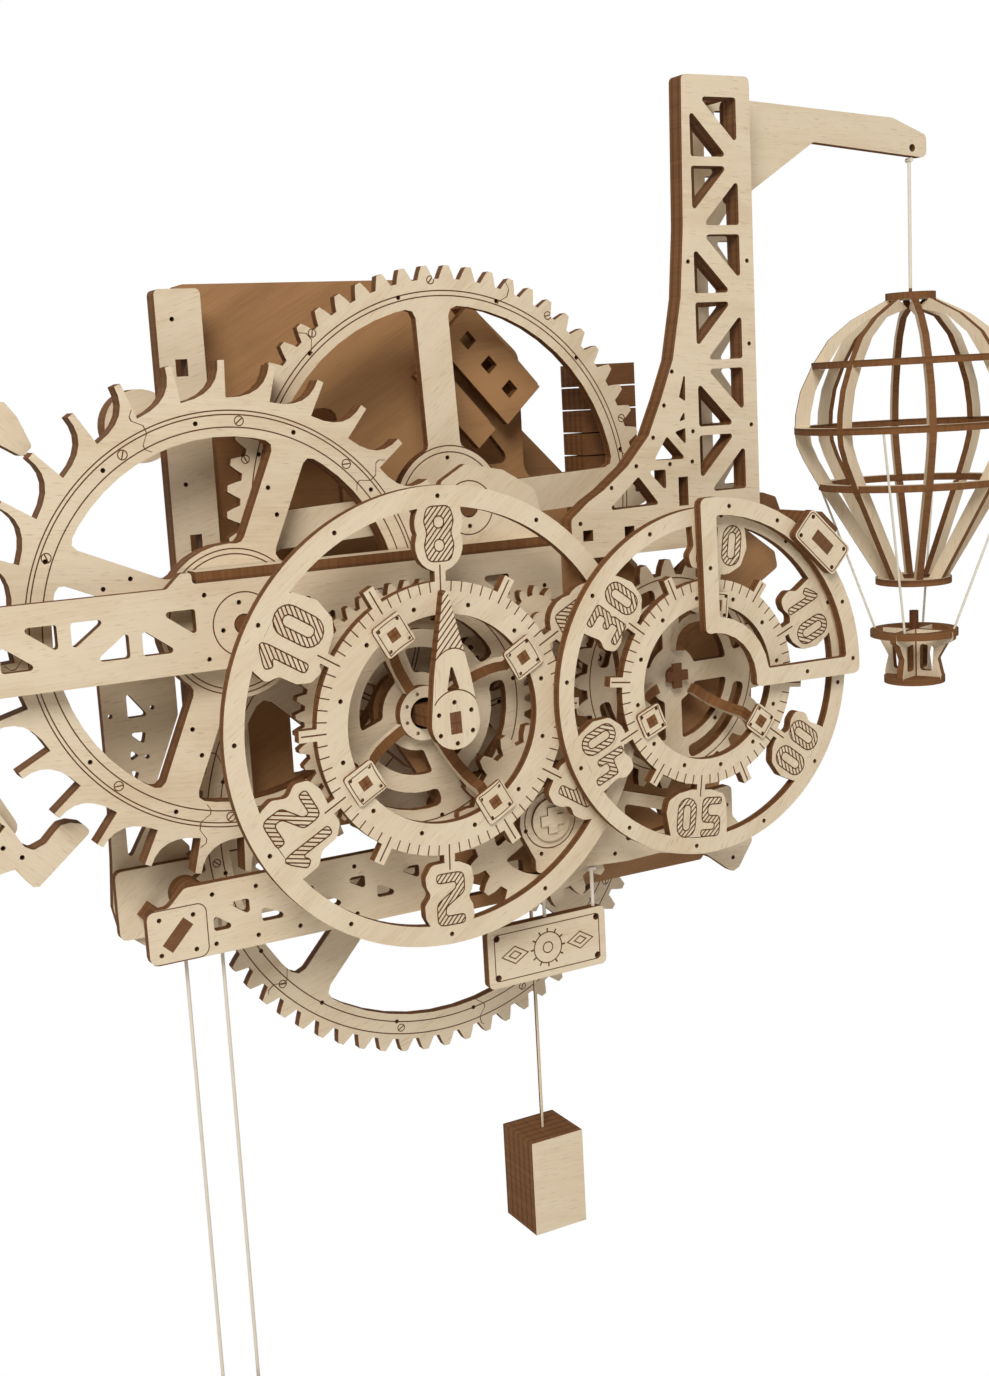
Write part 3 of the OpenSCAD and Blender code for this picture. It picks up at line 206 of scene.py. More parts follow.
def blend_colour(tree, factor, a, b):
    """Colour a where factor is 0 and colour b where it is 1."""
    n = tree.nodes.new("ShaderNodeMix")
    n.data_type = "RGBA"
    for i, v in ((0, factor), (6, a), (7, b)):
        if isinstance(v, bpy.types.NodeSocket):
            tree.links.new(v, n.inputs[i])
        else:
            n.inputs[i].default_value = v
    return n.outputs[2]


def new_group(name, ins, outs):
    """An empty node group with sockets given as (name, type, default)."""
    g = bpy.data.node_groups.new(name, "ShaderNodeTree")
    for label, kind, value in ins:
        s = g.interface.new_socket(label, in_out="INPUT", socket_type="NodeSocket" + kind)
        s.default_value = value
    for label, kind in outs:
        g.interface.new_socket(label, in_out="OUTPUT", socket_type="NodeSocket" + kind)
    return g, g.nodes.new("NodeGroupInput"), g.nodes.new("NodeGroupOutput")


PALE, WARM, FLECK = rgb(231, 215, 190), rgb(204, 180, 146), rgb(165, 128, 88)
CHAR, BROWN, CORE = rgb(84, 50, 28), rgb(142, 98, 58), rgb(56, 30, 14)  # burnt edges
SCORED = rgb(98, 58, 30)
DARK = rgb(118, 80, 50), rgb(90, 57, 34)  # end grain of pegs and spacers
PAINTED_SHADE = rgb(176, 134, 92), rgb(138, 98, 62)  # painted shade: plates deep behind the wheels are coloured darker and browner to stand in for the shade that falls there
CORD = rgb(236, 230, 216)
g, gi, go = new_group(
    "birch plywood",
    [("Face", "Vector", (0, 1, 0)), ("Grain", "Vector", (0.9, 0, 0.43)), ("Front", "Float", 0.0),
     ("Seed", "Float", 0.0), ("Mark", "Float", 0.0), ("Pale", "Color", PALE), ("Warm", "Color", WARM),
     ("Char", "Color", CHAR), ("Origin", "Vector", (0, 0, 0)), ("Cord above", "Float", 9.0)],
    [("Color", "Color"), ("Roughness", "Float"), ("Height", "Float")],
)
spot = wire(g, "ShaderNodeTexCoord")
place, normal = vec(g, "SUBTRACT", spot.outputs["Object"], gi.outputs["Origin"]), spot.outputs["Normal"]
face_way, seed, scored = gi.outputs["Face"], gi.outputs["Seed"], gi.outputs["Mark"]
face_on = num(g, "GREATER_THAN", num(g, "ABSOLUTE", vec(g, "DOT_PRODUCT", normal, face_way)), 0.8)
along_grain = vec(g, "DOT_PRODUCT", place, gi.outputs["Grain"])
across_grain = vec(g, "DOT_PRODUCT", place, vec(g, "CROSS_PRODUCT", face_way, gi.outputs["Grain"]))
behind = num(g, "SUBTRACT", vec(g, "DOT_PRODUCT", place, face_way), gi.outputs["Front"])
depth = num(g, "DIVIDE", behind, PLY)


def grain_noise(scale_along, scale_across, detail, rough, start):
    """Noise stretched along the grain; the scales are in cycles to the metre."""
    c = wire(g, "ShaderNodeCombineXYZ", (num(g, "MULTIPLY", along_grain, scale_along),
             num(g, "MULTIPLY", across_grain, scale_across), start)).outputs[0]
    return wire(g, "ShaderNodeTexNoise", (c, None, 1.0, detail, rough)).outputs["Fac"]


figure = grain_noise(22, 95, 3, 0.55, seed)
fibre = grain_noise(60, 1500, 4, 0.65, seed)
fleck = grain_noise(260, 2600, 1, 0.4, seed)
fleck = num(g, "MULTIPLY", num(g, "SUBTRACT", fleck, 0.62, clamp=True), 5.0, clamp=True)
tone = num(g, "ADD", num(g, "MULTIPLY", num(g, "SUBTRACT", figure, 0.42), 1.5),
           num(g, "MULTIPLY", num(g, "SUBTRACT", fibre, 0.5), 0.9), clamp=True)
face_tint = blend_colour(g, tone, gi.outputs["Pale"], gi.outputs["Warm"])
face_tint = blend_colour(g, num(g, "MULTIPLY", fleck, 0.45), face_tint, FLECK)
burn = grain_noise(45, 45, 2, 0.5, num(g, "ADD", seed, 7.0))
# Three veneers: the middle one crosses the others and takes the laser darker
veneer = num(g, "FRACT", depth)
middle = num(g, "LESS_THAN", num(g, "ABSOLUTE", num(g, "SUBTRACT", veneer, 0.5)), 0.17)
streak = grain_noise(900, 900, 2, 0.6, 3.0)
edge_tint = blend_colour(g, num(g, "MULTIPLY_ADD", streak, 0.9, num(g, "MULTIPLY", burn, 0.35), clamp=True),
                         gi.outputs["Char"], BROWN)
edge_tint = blend_colour(g, num(g, "MULTIPLY", middle, 0.35), edge_tint, CORE)
tint = blend_colour(g, face_on, edge_tint, face_tint)
height = wire(g, "ShaderNodeSeparateXYZ", (spot.outputs["Object"],)).outputs[2]
tint = blend_colour(g, num(g, "GREATER_THAN", height, gi.outputs["Cord above"]), tint, CORD)
tint = blend_colour(g, scored, tint, SCORED)
sheen_loss = num(g, "MULTIPLY_ADD", tone, 0.12, num(g, "MULTIPLY_ADD", face_on, -0.22, 0.78))
relief = num(g, "SUBTRACT", num(g, "MULTIPLY", fibre, 0.5), num(g, "MULTIPLY", scored, 1.4))
for label, socket in (("Color", tint), ("Roughness", sheen_loss), ("Height", relief)):
    g.links.new(socket, go.inputs[label])

made_so_far = []


def plywood(name, front=0.0, face=(0, 1, 0), grain=None, mark=None, shades=None, origin=None,
            cord_above=None):
    """A material of birch ply. front is the Y of the plate's front face in the whole frame, in metres.
    face may be a function that puts out the direction across the sheet, and mark one that puts out a
    mask. Above the height cord_above, in millimetres from the dial's centre, the node is white twine."""
    m = bpy.data.materials.new(name)
    m.use_nodes = True
    t = m.node_tree
    made_so_far.append(name)
    k = len(made_so_far)
    ply = t.nodes.new("ShaderNodeGroup")
    ply.node_tree = bpy.data.node_groups["birch plywood"]
    turn_by = 0.35 + 0.45 * math.sin(k * 2.4)
    for label, v in (("Face", face), ("Grain", grain or (math.cos(turn_by), 0, math.sin(turn_by)))):
        if callable(v):
            t.links.new(v(t), ply.inputs[label])
        else:
            ply.inputs[label].default_value = v
    ply.inputs["Front"].default_value = front
    ply.inputs["Seed"].default_value = k * 1.7
    if shades:
        ply.inputs["Pale"].default_value, ply.inputs["Warm"].default_value = shades
    if origin:
        ply.inputs["Origin"].default_value = origin
    if cord_above is not None:
        ply.inputs["Cord above"].default_value = at(0, 0, cord_above).z
    if mark:
        t.links.new(mark(t), ply.inputs["Mark"])
    skin = t.nodes["Principled BSDF"]
    skin.inputs["Specular IOR Level"].default_value = 0.3
    bump = wire(t, "ShaderNodeBump")
    bump.inputs["Strength"].default_value = 0.35
    bump.inputs["Distance"].default_value = 0.00012
    t.links.new(ply.outputs["Color"], skin.inputs["Base Color"])
    t.links.new(ply.outputs["Roughness"], skin.inputs["Roughness"])
    t.links.new(ply.outputs["Height"], bump.inputs["Height"])
    t.links.new(bump.outputs["Normal"], skin.inputs["Normal"])
    return m


def finish_node(name, material):
    """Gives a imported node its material."""
    data = nodes[name].data
    data.materials.clear()
    data.materials.append(material)


def plate_node(name, front, **more):
    """Finishes a plate whose front face is at the dial-centred Y front, in mm."""
    finish_node(name, plywood(name, at(0, front, 0).y, **more))


# ---------------------------------------------------------------------------
# Engraving. The laser scores fine brown lines and rings into the faces. Each
# mask is built from the distances of a point to an axis and to the nearest of
# the divisions around it, in millimetres.
# ---------------------------------------------------------------------------
LINE = 0.36
polar_group, pi, po = new_group(
    "polar", [("Centre", "Vector", (0, 0, 0)), ("Phase", "Float", 0.0), ("Count", "Float", 1.0)],
    [("Radius", "Float"), ("Arc", "Float"), ("X", "Float"), ("Z", "Float")],
)
g = polar_group
offset = vec(g, "SUBTRACT", wire(g, "ShaderNodeTexCoord").outputs["Object"], pi.outputs["Centre"])
parts = wire(g, "ShaderNodeSeparateXYZ", (vec(g, "MULTIPLY", offset, (1000, 0, 1000)),)).outputs
radius = num(g, "SQRT", num(g, "ADD", num(g, "POWER", parts[0], 2.0), num(g, "POWER", parts[2], 2.0)))
angle = num(g, "DIVIDE", num(g, "ARCTAN2", parts[2], parts[0]), math.tau)
turned = num(g, "SUBTRACT", angle, num(g, "DIVIDE", pi.outputs["Phase"], 360.0))
share = num(g, "MULTIPLY", turned, pi.outputs["Count"])
share = num(g, "SUBTRACT", num(g, "FRACT", num(g, "ADD", share, 0.5)), 0.5)
swept = num(g, "MULTIPLY", num(g, "MULTIPLY", share, math.tau), radius)
arc = num(g, "DIVIDE", swept, pi.outputs["Count"])
for label, socket in (("Radius", radius), ("Arc", arc), ("X", parts[0]), ("Z", parts[2])):
    g.links.new(socket, po.inputs[label])


def polar(t, x, z, phase=0.0, count=1.0):
    """Radius, signed arc to the nearest division, and x and z from the axis at x, z of the dial plane."""
    n = t.nodes.new("ShaderNodeGroup")
    n.node_tree = polar_group
    n.inputs["Centre"].default_value = at(x, 0, z) if x is not None else (0, 0, 0)
    n.inputs["Phase"].default_value = phase
    n.inputs["Count"].default_value = count
    return n.outputs


def stroke(t, value, middle=0.0, width=LINE):
    """A line of that width where value passes middle."""
    return num(t, "LESS_THAN", num(t, "ABSOLUTE", num(t, "SUBTRACT", value, middle)), width / 2)


def within(t, value, low, high):
    return num(t, "MULTIPLY", num(t, "GREATER_THAN", value, low), num(t, "LESS_THAN", value, high))


def both(t, *masks):
    out = masks[0]
    for m in masks[1:]:
        out = num(t, "MULTIPLY", out, m)
    return out


def any_of(t, *masks):
    out = masks[0]
    for m in masks[1:]:
        out = num(t, "MAXIMUM", out, m)
    return out


def hatch(t, x, z, lean, pitch=1.15, width=0.42):
    """Parallel scored lines that rise at the angle lean."""
    a = math.radians(lean)
    across = num(t, "SUBTRACT", num(t, "MULTIPLY", z, math.cos(a)), num(t, "MULTIPLY", x, math.sin(a)))
    return num(t, "LESS_THAN", num(t, "FRACT", num(t, "DIVIDE", across, pitch)), width / pitch)


def scale_marks(x, z, phase, small, small_r, long_r):
    """A dial's ticks: small to the turn between two radii, and twelve longer lines."""
    def build(t):
        fine = polar(t, x, z, phase, small)
        bold = polar(t, x, z, phase, 12)
        return any_of(t, both(t, stroke(t, fine["Arc"]), within(t, fine["Radius"], *small_r)),
                      both(t, stroke(t, bold["Arc"], width=0.42), within(t, bold["Radius"], *long_r)))
    return build


def wheel_marks(x, z, rings, screws=None, joints=None):
    """Scored rings, screw heads with a slot and stepped joint lines across a wheel's rim. screws gives
    their radius, number, first angle and size; joints gives the radii, number and first angle."""
    def build(t):
        masks = [stroke(t, polar(t, x, z)["Radius"], r) for r in rings]
        if screws:
            r, count, phase, size = screws
            p = polar(t, x, z, phase, count)
            v = num(t, "SUBTRACT", p["Radius"], r)
            d = num(t, "SQRT", num(t, "ADD", num(t, "POWER", v, 2.0), num(t, "POWER", p["Arc"], 2.0)))
            slot_line = stroke(t, num(t, "ADD", v, p["Arc"]), 0, 0.5)
            masks += [stroke(t, d, size, 0.3), both(t, slot_line, num(t, "LESS_THAN", d, size))]
        if joints:
            low, high, count, phase = joints
            p = polar(t, x, z, phase, count)
            wave = num(t, "SUBTRACT", num(t, "PINGPONG", p["Radius"], 4.0), 2.0)
            wave = num(t, "MAXIMUM", num(t, "MINIMUM", wave, 1.4), -0.9)
            masks.append(both(t, stroke(t, num(t, "SUBTRACT", p["Arc"], wave), 0, 0.3),
                              within(t, p["Radius"], low, high)))
        return any_of(t, *masks)
    return build


def box_line(x, z, half_x, half_z, corner, lean=0.0, width=0.3):
    """The outline of a rounded rectangle about x, z."""
    def build(t):
        p = polar(t, x, z)
        c, s = math.cos(math.radians(lean)), math.sin(math.radians(lean))
        u = num(t, "ADD", num(t, "MULTIPLY", p["X"], c), num(t, "MULTIPLY", p["Z"], s))
        v = num(t, "SUBTRACT", num(t, "MULTIPLY", p["Z"], c), num(t, "MULTIPLY", p["X"], s))
        a = num(t, "MAXIMUM", num(t, "SUBTRACT", num(t, "ABSOLUTE", u), half_x - corner), 0.0)
        b = num(t, "MAXIMUM", num(t, "SUBTRACT", num(t, "ABSOLUTE", v), half_z - corner), 0.0)
        d = num(t, "SQRT", num(t, "ADD", num(t, "POWER", a, 2.0), num(t, "POWER", b, 2.0)))
        return stroke(t, d, corner, width)
    return build


# ---------------------------------------------------------------------------
# Fixed frame. Plates of the same ply, held together by pegs through slots; the
# beams carry the arbors and the upper beam shows a scored ring at its bearings.
# The wheels' axes are X and Z in millimetres from the hour dial's centre.
# ---------------------------------------------------------------------------
ESCAPE, SECOND, GREAT, TRANSFER = (-46.6, 29.2), (24.5, 54.1), (16.2, -34), (36.4, -35.8)
HOUR, MINUTE = (0, 0), (83, 0)
for name, front in (
    ("lower_rear_beam", 49), ("tower_front", 12), ("tower_rear", 33.5), ("left_post", 49),
    ("left_leg", 52), ("window_frame", -10.5), ("balloon_arm", 23.5),
):
    plate_node(name, front)
# Plates deep inside the frame take the painted shade colours, darker and browner than the rest
for name, front in (("right_plate", 22), ("rear_plate", 62), ("wall_plate", 92), ("minute_bearing", 29.5),
                    ("top_bracket", 52)):
    plate_node(name, front, shades=PAINTED_SHADE)
plate_node("upper_beam", 22, grain=(1, 0, 0.04), mark=wheel_marks(*ESCAPE, (8.6,)))
plate_node("lower_beam", 22, grain=(1, 0, 0.1), mark=box_line(-72.2, -51.4, 8.4, 7.4, 2.6))
plate_node("dial_bridge", 9, mark=wheel_marks(*TRANSFER, (8.4,)))
plate_node("wheel_bracket", 25.5, mark=wheel_marks(*SECOND, (7.6,)))
plate_node("window_cap", -13.5, mark=box_line(119.8, 37.7, 8.9, 4.5, 1.2, -43))
for name in ("cross_tie", "bridge_spacers", "tower_ties", "standoffs", "window_bracket"):
    plate_node(name, 12, shades=DARK)
finish_node("upper_beam_top", plywood("upper_beam_top", 0, face=(0, 0, 1), grain=(1, 0, 0)))
finish_node("laminated_column", plywood("laminated_column", 0, face=(0, 1, 0), grain=(1, 0, 0), shades=DARK))


# ---------------------------------------------------------------------------
# Pointer. A tapering hand of ply, hatched over its upper half, on a square
# peg whose end shows dark with a crossed seam.
# ---------------------------------------------------------------------------
def pointer_marks(t):
    p = polar(t, 0.2, 1.5)
    bow = num(t, "MULTIPLY_ADD", num(t, "POWER", p["X"], 2.0), -0.1, 18.6)
    above = num(t, "GREATER_THAN", p["Z"], bow)
    return any_of(t, both(t, above, hatch(t, p["X"], p["Z"], 48, 1.3, 0.4)),
                  stroke(t, num(t, "SUBTRACT", p["Z"], bow)),
                  both(t, stroke(t, p["Radius"], 7.4), num(t, "GREATER_THAN", p["Z"], 4.0)))


def peg_cross(x, z):
    def build(t):
        p = polar(t, x, z)
        return any_of(t, stroke(t, p["X"], 0, 0.25), stroke(t, p["Z"], 0, 0.3))
    return build


plate_node("pointer", -6.5, grain=(0.05, 0, 1), mark=pointer_marks)
plate_node("pointer_post", -6.5, shades=DARK, mark=peg_cross(0, 0))


# ---------------------------------------------------------------------------
# Dials. Two slotted rings with numeral plaques, ticks around the inner scale
# ring, square caps over the arm pegs, and arms that stand edge-on behind.
# ---------------------------------------------------------------------------
def round_an_axis(axis, x, y, z):
    """The direction around an axis through x, y, z, for sheets that stand in planes through it."""
    def build(t):
        off = vec(t, "SUBTRACT", wire(t, "ShaderNodeTexCoord").outputs["Object"], at(x, y, z))
        flat = vec(t, "MULTIPLY", off, tuple(1 - abs(a) for a in axis))
        return vec(t, "NORMALIZE", vec(t, "CROSS_PRODUCT", axis, flat))
    return build


def cap_marks(x, z, r, angle, count, half):
    """A thin square line just inside the edge of each cap."""
    def build(t):
        p = polar(t, x, z, angle, count)
        v = num(t, "ABSOLUTE", num(t, "SUBTRACT", p["Radius"], r))
        return stroke(t, num(t, "MAXIMUM", v, num(t, "ABSOLUTE", p["Arc"])), half, 0.28)
    return build


def arm_marks(x, z, r, angle, count):
    """The crossed seam on the end of each arm's peg."""
    def build(t):
        p = polar(t, x, z, angle, count)
        here = wire(t, "ShaderNodeTexCoord").outputs["Object"]
        spot_y = wire(t, "ShaderNodeSeparateXYZ", (here,)).outputs[1]
        return both(t, any_of(t, stroke(t, p["Arc"], 0, 0.25), stroke(t, p["Radius"], r, 0.25)),
                    num(t, "LESS_THAN", spot_y, at(0, 1, 0).y))
    return build


plate_node("hour_dial", 0, grain=(0.8, 0, 0.6),
           mark=scale_marks(*HOUR, -1.65, 72, (34.6, 37.6), (34.8, 41.8)))
plate_node("minute_dial", -6, grain=(0.6, 0, 0.8),
           mark=scale_marks(*MINUTE, -7.4, 60, (27.2, 30.1), (27.3, 33.6)))
# The arms' pegs come through the caps: their radius, the first one's angle and their number
HOUR_PEGS, MINUTE_PEGS = (28.4, 29.2, 4), (22.4, 82, 3)
plate_node("hour_caps", -1, mark=cap_marks(*HOUR, *HOUR_PEGS, 3.9))
plate_node("minute_caps", -7, mark=cap_marks(*MINUTE, *MINUTE_PEGS, 3.3))
for name, (x, z), pegs in (("hour_arms", HOUR, HOUR_PEGS), ("minute_arms", MINUTE, MINUTE_PEGS)):
    finish_node(name, plywood(name, 0, face=round_an_axis((0, 1, 0), x, 0, z), grain=(0, 1, 0),
                              mark=arm_marks(x, z, *pegs), origin=at(x, 0, z)))
plate_node("hour_hub", 12)

# ---------------------------------------------------------------------------
# Numerals. Each plaque's digits are scored as a hatched shape inside a burnt
# outline. A piece is one plaque's digits, laid on its face and turning with it.
# ---------------------------------------------------------------------------
PROUD = 0.05  # how far the hatched face stands off the plaque, and below, its outline's width
EDGE = 0.34


def rounded(points, r, n=3):
    """The polygon with each corner rounded by an arc of radius r."""
    out = []
    for i, q in enumerate(points):
        q = Vector(q)
        a = (Vector(points[i - 1]) - q).normalized()
        b = (Vector(points[(i + 1) % len(points)]) - q).normalized()
        half = math.acos(max(-1, min(1, a.dot(b)))) / 2
        reach = min(r / math.tan(half), (Vector(points[i - 1]) - q).length * 0.45,
                    (Vector(points[(i + 1) % len(points)]) - q).length * 0.45)
        for k in range(n + 1):
            s = k / n
            near, far = q + a * reach * (1 - s), q + b * reach * s
            out.append(near * (1 - s) + far * s if n > 1 else q)
    return out


def ribbon(points, w=2.9, r=2.4):
    """The outline of a stroke of width w along an open centreline."""
    pts = [Vector(p) for p in points]
    sides = ([], [])
    for i, p in enumerate(pts):
        before = (p - pts[i - 1]).normalized() if i else (pts[1] - p).normalized()
        after = (pts[i + 1] - p).normalized() if i < len(pts) - 1 else before
        n1, n2 = Vector((-before.y, before.x)), Vector((-after.y, after.x))
        m = (n1 + n2).normalized()
        m *= w / 2 / max(0.3, m.dot(n1))
        ends = Vector((0, 0)) if 0 < i < len(pts) - 1 else (after if i else -before) * w / 2
        sides[0].append(p + m + ends)
        sides[1].append(p - m + ends)
    return rounded(sides[0] + sides[1][::-1], r)


def oval(cx, cy, w, h, n=8):
    """A stadium of width w and height h about cx, cy."""
    r, out = w / 2, []
    for start, y in ((0, h / 2 - r), (180, r - h / 2)):
        out += [Vector((cx + r * math.cos(math.radians(start + 180 * k / n)),
                        cy + y + r * math.sin(math.radians(start + 180 * k / n)))) for k in range(n + 1)]
    return out


# Each digit is 15 mm high about its own middle: an outer loop, then any holes
GLYPHS = {
    "0": [oval(0, 0, 8.6, 15), oval(0, 0, 2.9, 9.2)],
    "1": [ribbon([(-3.2, 3.2), (0, 6.1), (0, -6.0)])],
    "2": [ribbon([(2.95, -6.05), (-2.95, -6.05), (-2.95, -2.2), (2.95, 1.6), (2.95, 6.05), (-2.95, 6.05)])],
    "3": [rounded([(-4.3, 7.5), (4.4, 7.5), (4.4, 1.2), (3.4, 0), (4.4, -1.2), (4.4, -7.5), (-4.3, -7.5),
                   (-4.3, -4.6), (1.5, -4.6), (1.5, -1.45), (-1.6, -1.45), (-1.6, 1.45), (1.5, 1.45),
                   (1.5, 4.6), (-4.3, 4.6)], 1.3)],
    "4": [rounded([(-4.4, 7.5), (-1.5, 7.5), (-1.5, 0.6), (1.5, 0.6), (1.5, 4.2), (4.4, 4.2), (4.4, -7.5),
                   (1.5, -7.5), (1.5, -2.3), (-4.4, -2.3)], 1.2)],
    "5": [ribbon([(2.95, 6.05), (-2.95, 6.05), (-2.95, 0.8), (2.95, 0.8), (2.95, -6.05), (-2.95, -6.05)])],
    "6": [rounded([(-4.4, 7.5), (4.2, 7.5), (4.2, 4.6), (-1.5, 4.6), (-1.5, 2.2), (4.4, 2.2), (4.4, -7.5),
                   (-4.4, -7.5)], 1.8),
          rounded([(-1.5, -0.7), (1.5, -0.7), (1.5, -4.6), (-1.5, -4.6)], 0.9)],
    "8": [rounded([(-3.6, 7.5), (3.6, 7.5), (4.6, 3.4), (3.7, 0.3), (4.6, -3), (3.6, -7.5), (-3.6, -7.5),
                   (-4.6, -3), (-3.7, 0.3), (-4.6, 3.4)], 2.4),
          oval(0, 3.1, 2.7, 2.9), oval(0, -3.1, 2.7, 2.9)],
}


def shoelace(loop):
    """Twice the loop's signed area."""
    return sum(a.x * b.y - b.x * a.y for a, b in zip(loop, loop[1:] + loop[:1]))


def numeral(name, body, text, centre, r, angle, front, size, spread):
    """The digits of one plaque, as hatched faces with an outline strip along each of their edges."""
    mesh = bmesh.new()
    for i, ch in enumerate(text):
        cx = (i - (len(text) - 1) / 2) * 2 * spread
        loops = [[Vector((p[0] * size + cx, p[1] * size)) for p in loop] for loop in GLYPHS[ch]]
        flat = [v for loop in loops for v in loop]
        verts = [mesh.verts.new((v.x / 1000, -PROUD / 1000, v.y / 1000)) for v in flat]
        for tri in tessellate_polygon([[(v.x, v.y, 0) for v in loop] for loop in loops]):
            if len(set(tri)) == 3:
                try:
                    mesh.faces.new([verts[k] for k in tri])
                except ValueError:
                    pass
        for k, loop in enumerate(loops):
            inward = (1 if shoelace(loop) > 0 else -1) * (1 if k == 0 else -1)
            rim, inner = [], []
            for j, q in enumerate(loop):
                d = loop[(j + 1) % len(loop)] - loop[j - 1]
                d = d.normalized() if d.length else Vector((1, 0))
                inset = q + Vector((-d.y, d.x)) * inward * EDGE
                rim.append(mesh.verts.new((q.x / 1000, -PROUD * 1.5 / 1000, q.y / 1000)))
                inner.append(mesh.verts.new((inset.x / 1000, -PROUD * 1.5 / 1000, inset.y / 1000)))
            for j in range(len(loop)):
                n = (j + 1) % len(loop)
                f = mesh.faces.new((rim[j], rim[n], inner[n], inner[j]))
                f.material_index = 1
    for f in mesh.faces:
        f.normal_update()
        if f.normal.y > 0:
            f.normal_flip()
    data = bpy.data.meshes.new(name)
    mesh.to_mesh(data)
    o = bpy.data.objects.new(name, data)
    scene.collection.objects.link(o)
    data.materials.append(digit_wood)
    data.materials.append(digit_line)
    a = math.radians(angle)
    x_axis, z_axis = Vector((math.sin(a), 0, -math.cos(a))), Vector((math.cos(a), 0, math.sin(a)))
    turned = Matrix((x_axis, Vector((0, 1, 0)), z_axis)).transposed().to_4x4()
    spot = at(centre[0] + r * math.cos(a), front, centre[1] + r * math.sin(a))
    o.matrix_world = Matrix.Translation(spot) @ turned
    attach(o, body)


def digit_hatch(t):
    p = polar(t, None, None)
    return hatch(t, p["X"], p["Z"], 50, 1.12, 0.4)


digit_wood = plywood("digit_wood", 0, mark=digit_hatch)
digit_line = plywood("digit_line", 0, shades=(rgb(92, 54, 28), rgb(74, 42, 22)))
# Six plaques to a dial, a sixth of a turn apart, from the first one's angle
for i, text in enumerate(("8", "10", "12", "2", "4", "6")):
    numeral("hour_numeral_" + text, "hour", text, HOUR, 50, (88.35 + 60 * i) % 360, 0, 1.0, 4.45)
for i, text in enumerate(("20", "30", "40", "50", "00", "10")):
    numeral("minute_numeral_" + text, "minute", text, MINUTE, 39.7, (82.6 + 60 * i) % 360, -6, 0.79, 4.35)

# ---------------------------------------------------------------------------
# Wheels and pinions. Rims and spokes are built up from pieces, so stepped joint
# lines cross them, and screws with slotted heads hold the two layers.
# ---------------------------------------------------------------------------
plate_node("escape_wheel", 29, mark=wheel_marks(
    *ESCAPE, (56.0, 54.9, 51.6, 19.6, 18.2), screws=(53.3, 10, 12, 1.25), joints=(50, 62, 5, 40)))
plate_node("second_wheel", 37, mark=wheel_marks(
    *SECOND, (61, 59.6, 17.4, 15.6), screws=(64, 10, 20, 1.1), joints=(60, 68, 6, 10)))
plate_node("great_wheel", 43, mark=wheel_marks(
    *GREAT, (71, 67.2, 20), screws=(69.1, 10, 5, 1.1), joints=(64, 74, 6, 40)))
plate_node("hour_gear", 16, mark=wheel_marks(*HOUR, (31.5,)))
plate_node("minute_gear", 12.5, mark=wheel_marks(*MINUTE, (29,)))
for name, front in (
    ("minute_pinion", 25.5), ("relay_arbor", 16), ("relay_wheel", 25.5), ("idler_a", 25.5),
    ("idler_b", 25.5), ("transfer_arbor", 9), ("transfer_front_wheel", 12.5), ("transfer_rear_wheel", 25.5),
):
    plate_node(name, front)
for name, front in (("second_pinion", 43), ("escape_pinion", 37), ("great_arbor", 46), ("minute_arbor", 10)):
    plate_node(name, front, shades=DARK)

# ---------------------------------------------------------------------------
# Anchor and pendulum. Plain plates; the pallets are two layers thick.
# ---------------------------------------------------------------------------
plate_node("anchor", 41.5)
plate_node("pallets", 35.5, grain=(0.7, 0, -0.7))
plate_node("pendulum", 44.5, grain=(0.02, 0, 1), mark=wheel_marks(-147, -270.7, (23.5, 19)))

# ---------------------------------------------------------------------------
# Weights, cords and sign. The cords are thin white twine. The sign is a small
# plate that carries a scored border and a plain wheel ornament.
# ---------------------------------------------------------------------------
for name in ("drive_weight", "counterweight"):
    plate_node(name, 12)


def twist(t):
    """The dark lay of the strands, winding up a cord."""
    p = polar(t, None, None)
    return num(t, "MULTIPLY", hatch(t, p["X"], p["Z"], 40, 0.5, 0.14), 0.25)


# The two runs to the drive weight's pulley are one mesh
TWINE_SIDES, TWINE_RINGS = 10, 30
ALL_CORD = -400  # below the whole node
cord_lo, cord_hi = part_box("weight_cords")
twine_r, run_y = (cord_hi[1] - cord_lo[1]) / 2, (cord_hi[1] + cord_lo[1]) / 2
twine = bmesh.new()
for run_x in (cord_lo[0] + twine_r, cord_hi[0] - twine_r):
    rings = []
    turns = [math.tau * k / TWINE_SIDES for k in range(TWINE_SIDES)]
    for i in range(TWINE_RINGS + 1):
        z = cord_hi[2] + (cord_lo[2] - cord_hi[2]) * i / TWINE_RINGS
        rings.append([twine.verts.new((run_x + twine_r * math.cos(a), run_y + twine_r * math.sin(a), z))
                      for a in turns])
    for above, below in zip(rings, rings[1:]):
        for k in range(TWINE_SIDES):
            n = (k + 1) % TWINE_SIDES
            twine.faces.new((above[k], below[k], below[n], above[n])).smooth = True
    twine.faces.new(rings[0])
    twine.faces.new(rings[-1][::-1])
twine_data = bpy.data.meshes.new("drive_cords")
twine.to_mesh(twine_data)
drive_cords = bpy.data.objects.new("drive_cords", twine_data)
scene.collection.objects.link(drive_cords)
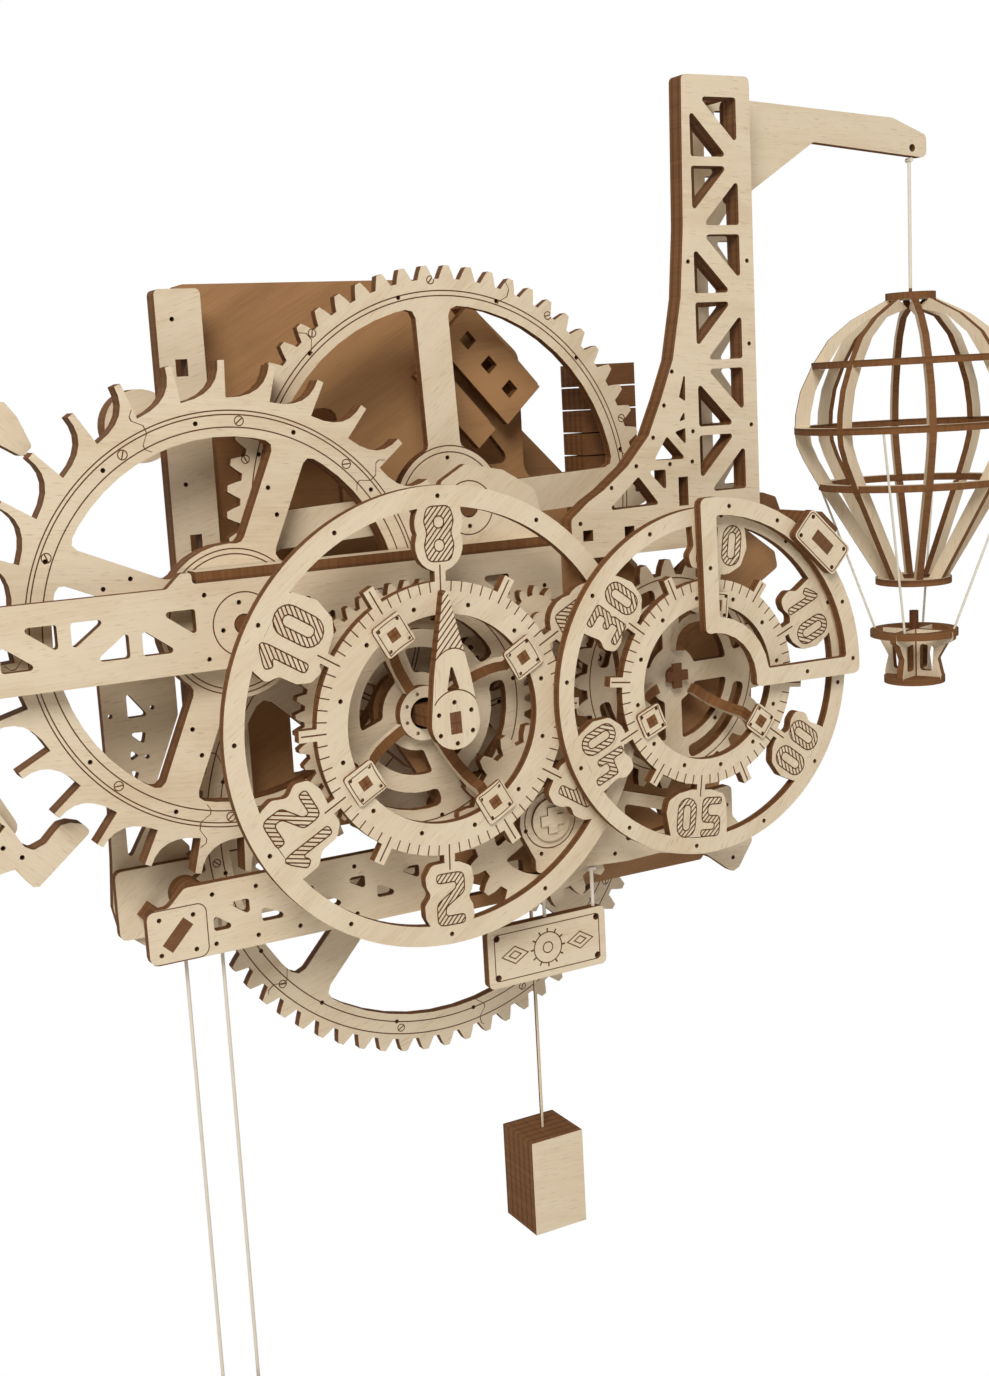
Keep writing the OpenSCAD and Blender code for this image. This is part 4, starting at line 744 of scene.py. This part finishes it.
twine_data.materials.append(plywood("drive_cords", mark=twist, shades=(CORD, rgb(224, 218, 204)),
                                    cord_above=ALL_CORD))
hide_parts("weight_cords")
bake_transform(drive_cords)


SIGN = (33.6, -73.7)


def sign_marks(t):
    """A border, a small toothed wheel and a diamond on each side of it."""
    masks = [box_line(*SIGN, 17.6, 6.9, 1.2)(t), wheel_marks(*SIGN, (4.6, 1.6))(t)]
    spokes = polar(t, *SIGN, 0, 12)
    masks.append(both(t, stroke(t, spokes["Arc"], 0, 0.5), within(t, spokes["Radius"], 4.6, 5.8)))
    for side in (-1, 1):
        leaf = polar(t, SIGN[0] + side * 11, SIGN[1])
        wide = num(t, "MULTIPLY", num(t, "ABSOLUTE", leaf["X"]), 0.6)
        d = num(t, "ADD", wide, num(t, "ABSOLUTE", leaf["Z"]))
        masks += [stroke(t, d, 2.6, 0.4), stroke(t, d, 1.2, 0.4)]
    return any_of(t, *masks)


plate_node("sign_plate", 9, grain=(1, 0, 0.02), mark=sign_marks, cord_above=-64.7)

# ---------------------------------------------------------------------------
# Balloon. Eight ribs stand around an upright axis and slot into level rings;
# the basket hangs on four cords from the widest ring.
# ---------------------------------------------------------------------------
BALLOON = (190, 25, 0)


def burner(t):
    """The post in the middle of the basket is dark above the rim."""
    off = vec(t, "SUBTRACT", wire(t, "ShaderNodeTexCoord").outputs["Object"], at(*BALLOON))
    reach = vec(t, "LENGTH", vec(t, "MULTIPLY", off, (1, 1, 0)))
    rise = wire(t, "ShaderNodeSeparateXYZ", (off,)).outputs[2]
    return both(t, num(t, "LESS_THAN", reach, 0.004), num(t, "GREATER_THAN", rise, 0.0005))


for name, above, mark in (("balloon_ribs", None, None), ("balloon_basket", 0.6, burner)):
    finish_node(name, plywood(name, 0, face=round_an_axis((0, 0, 1), *BALLOON), grain=(0, 0, 1),
                              mark=mark, origin=at(*BALLOON), cord_above=above))
finish_node("balloon_rings", plywood("balloon_rings", face=(0, 0, 1), grain=(1, 0, 0),
                                     cord_above=111.5))
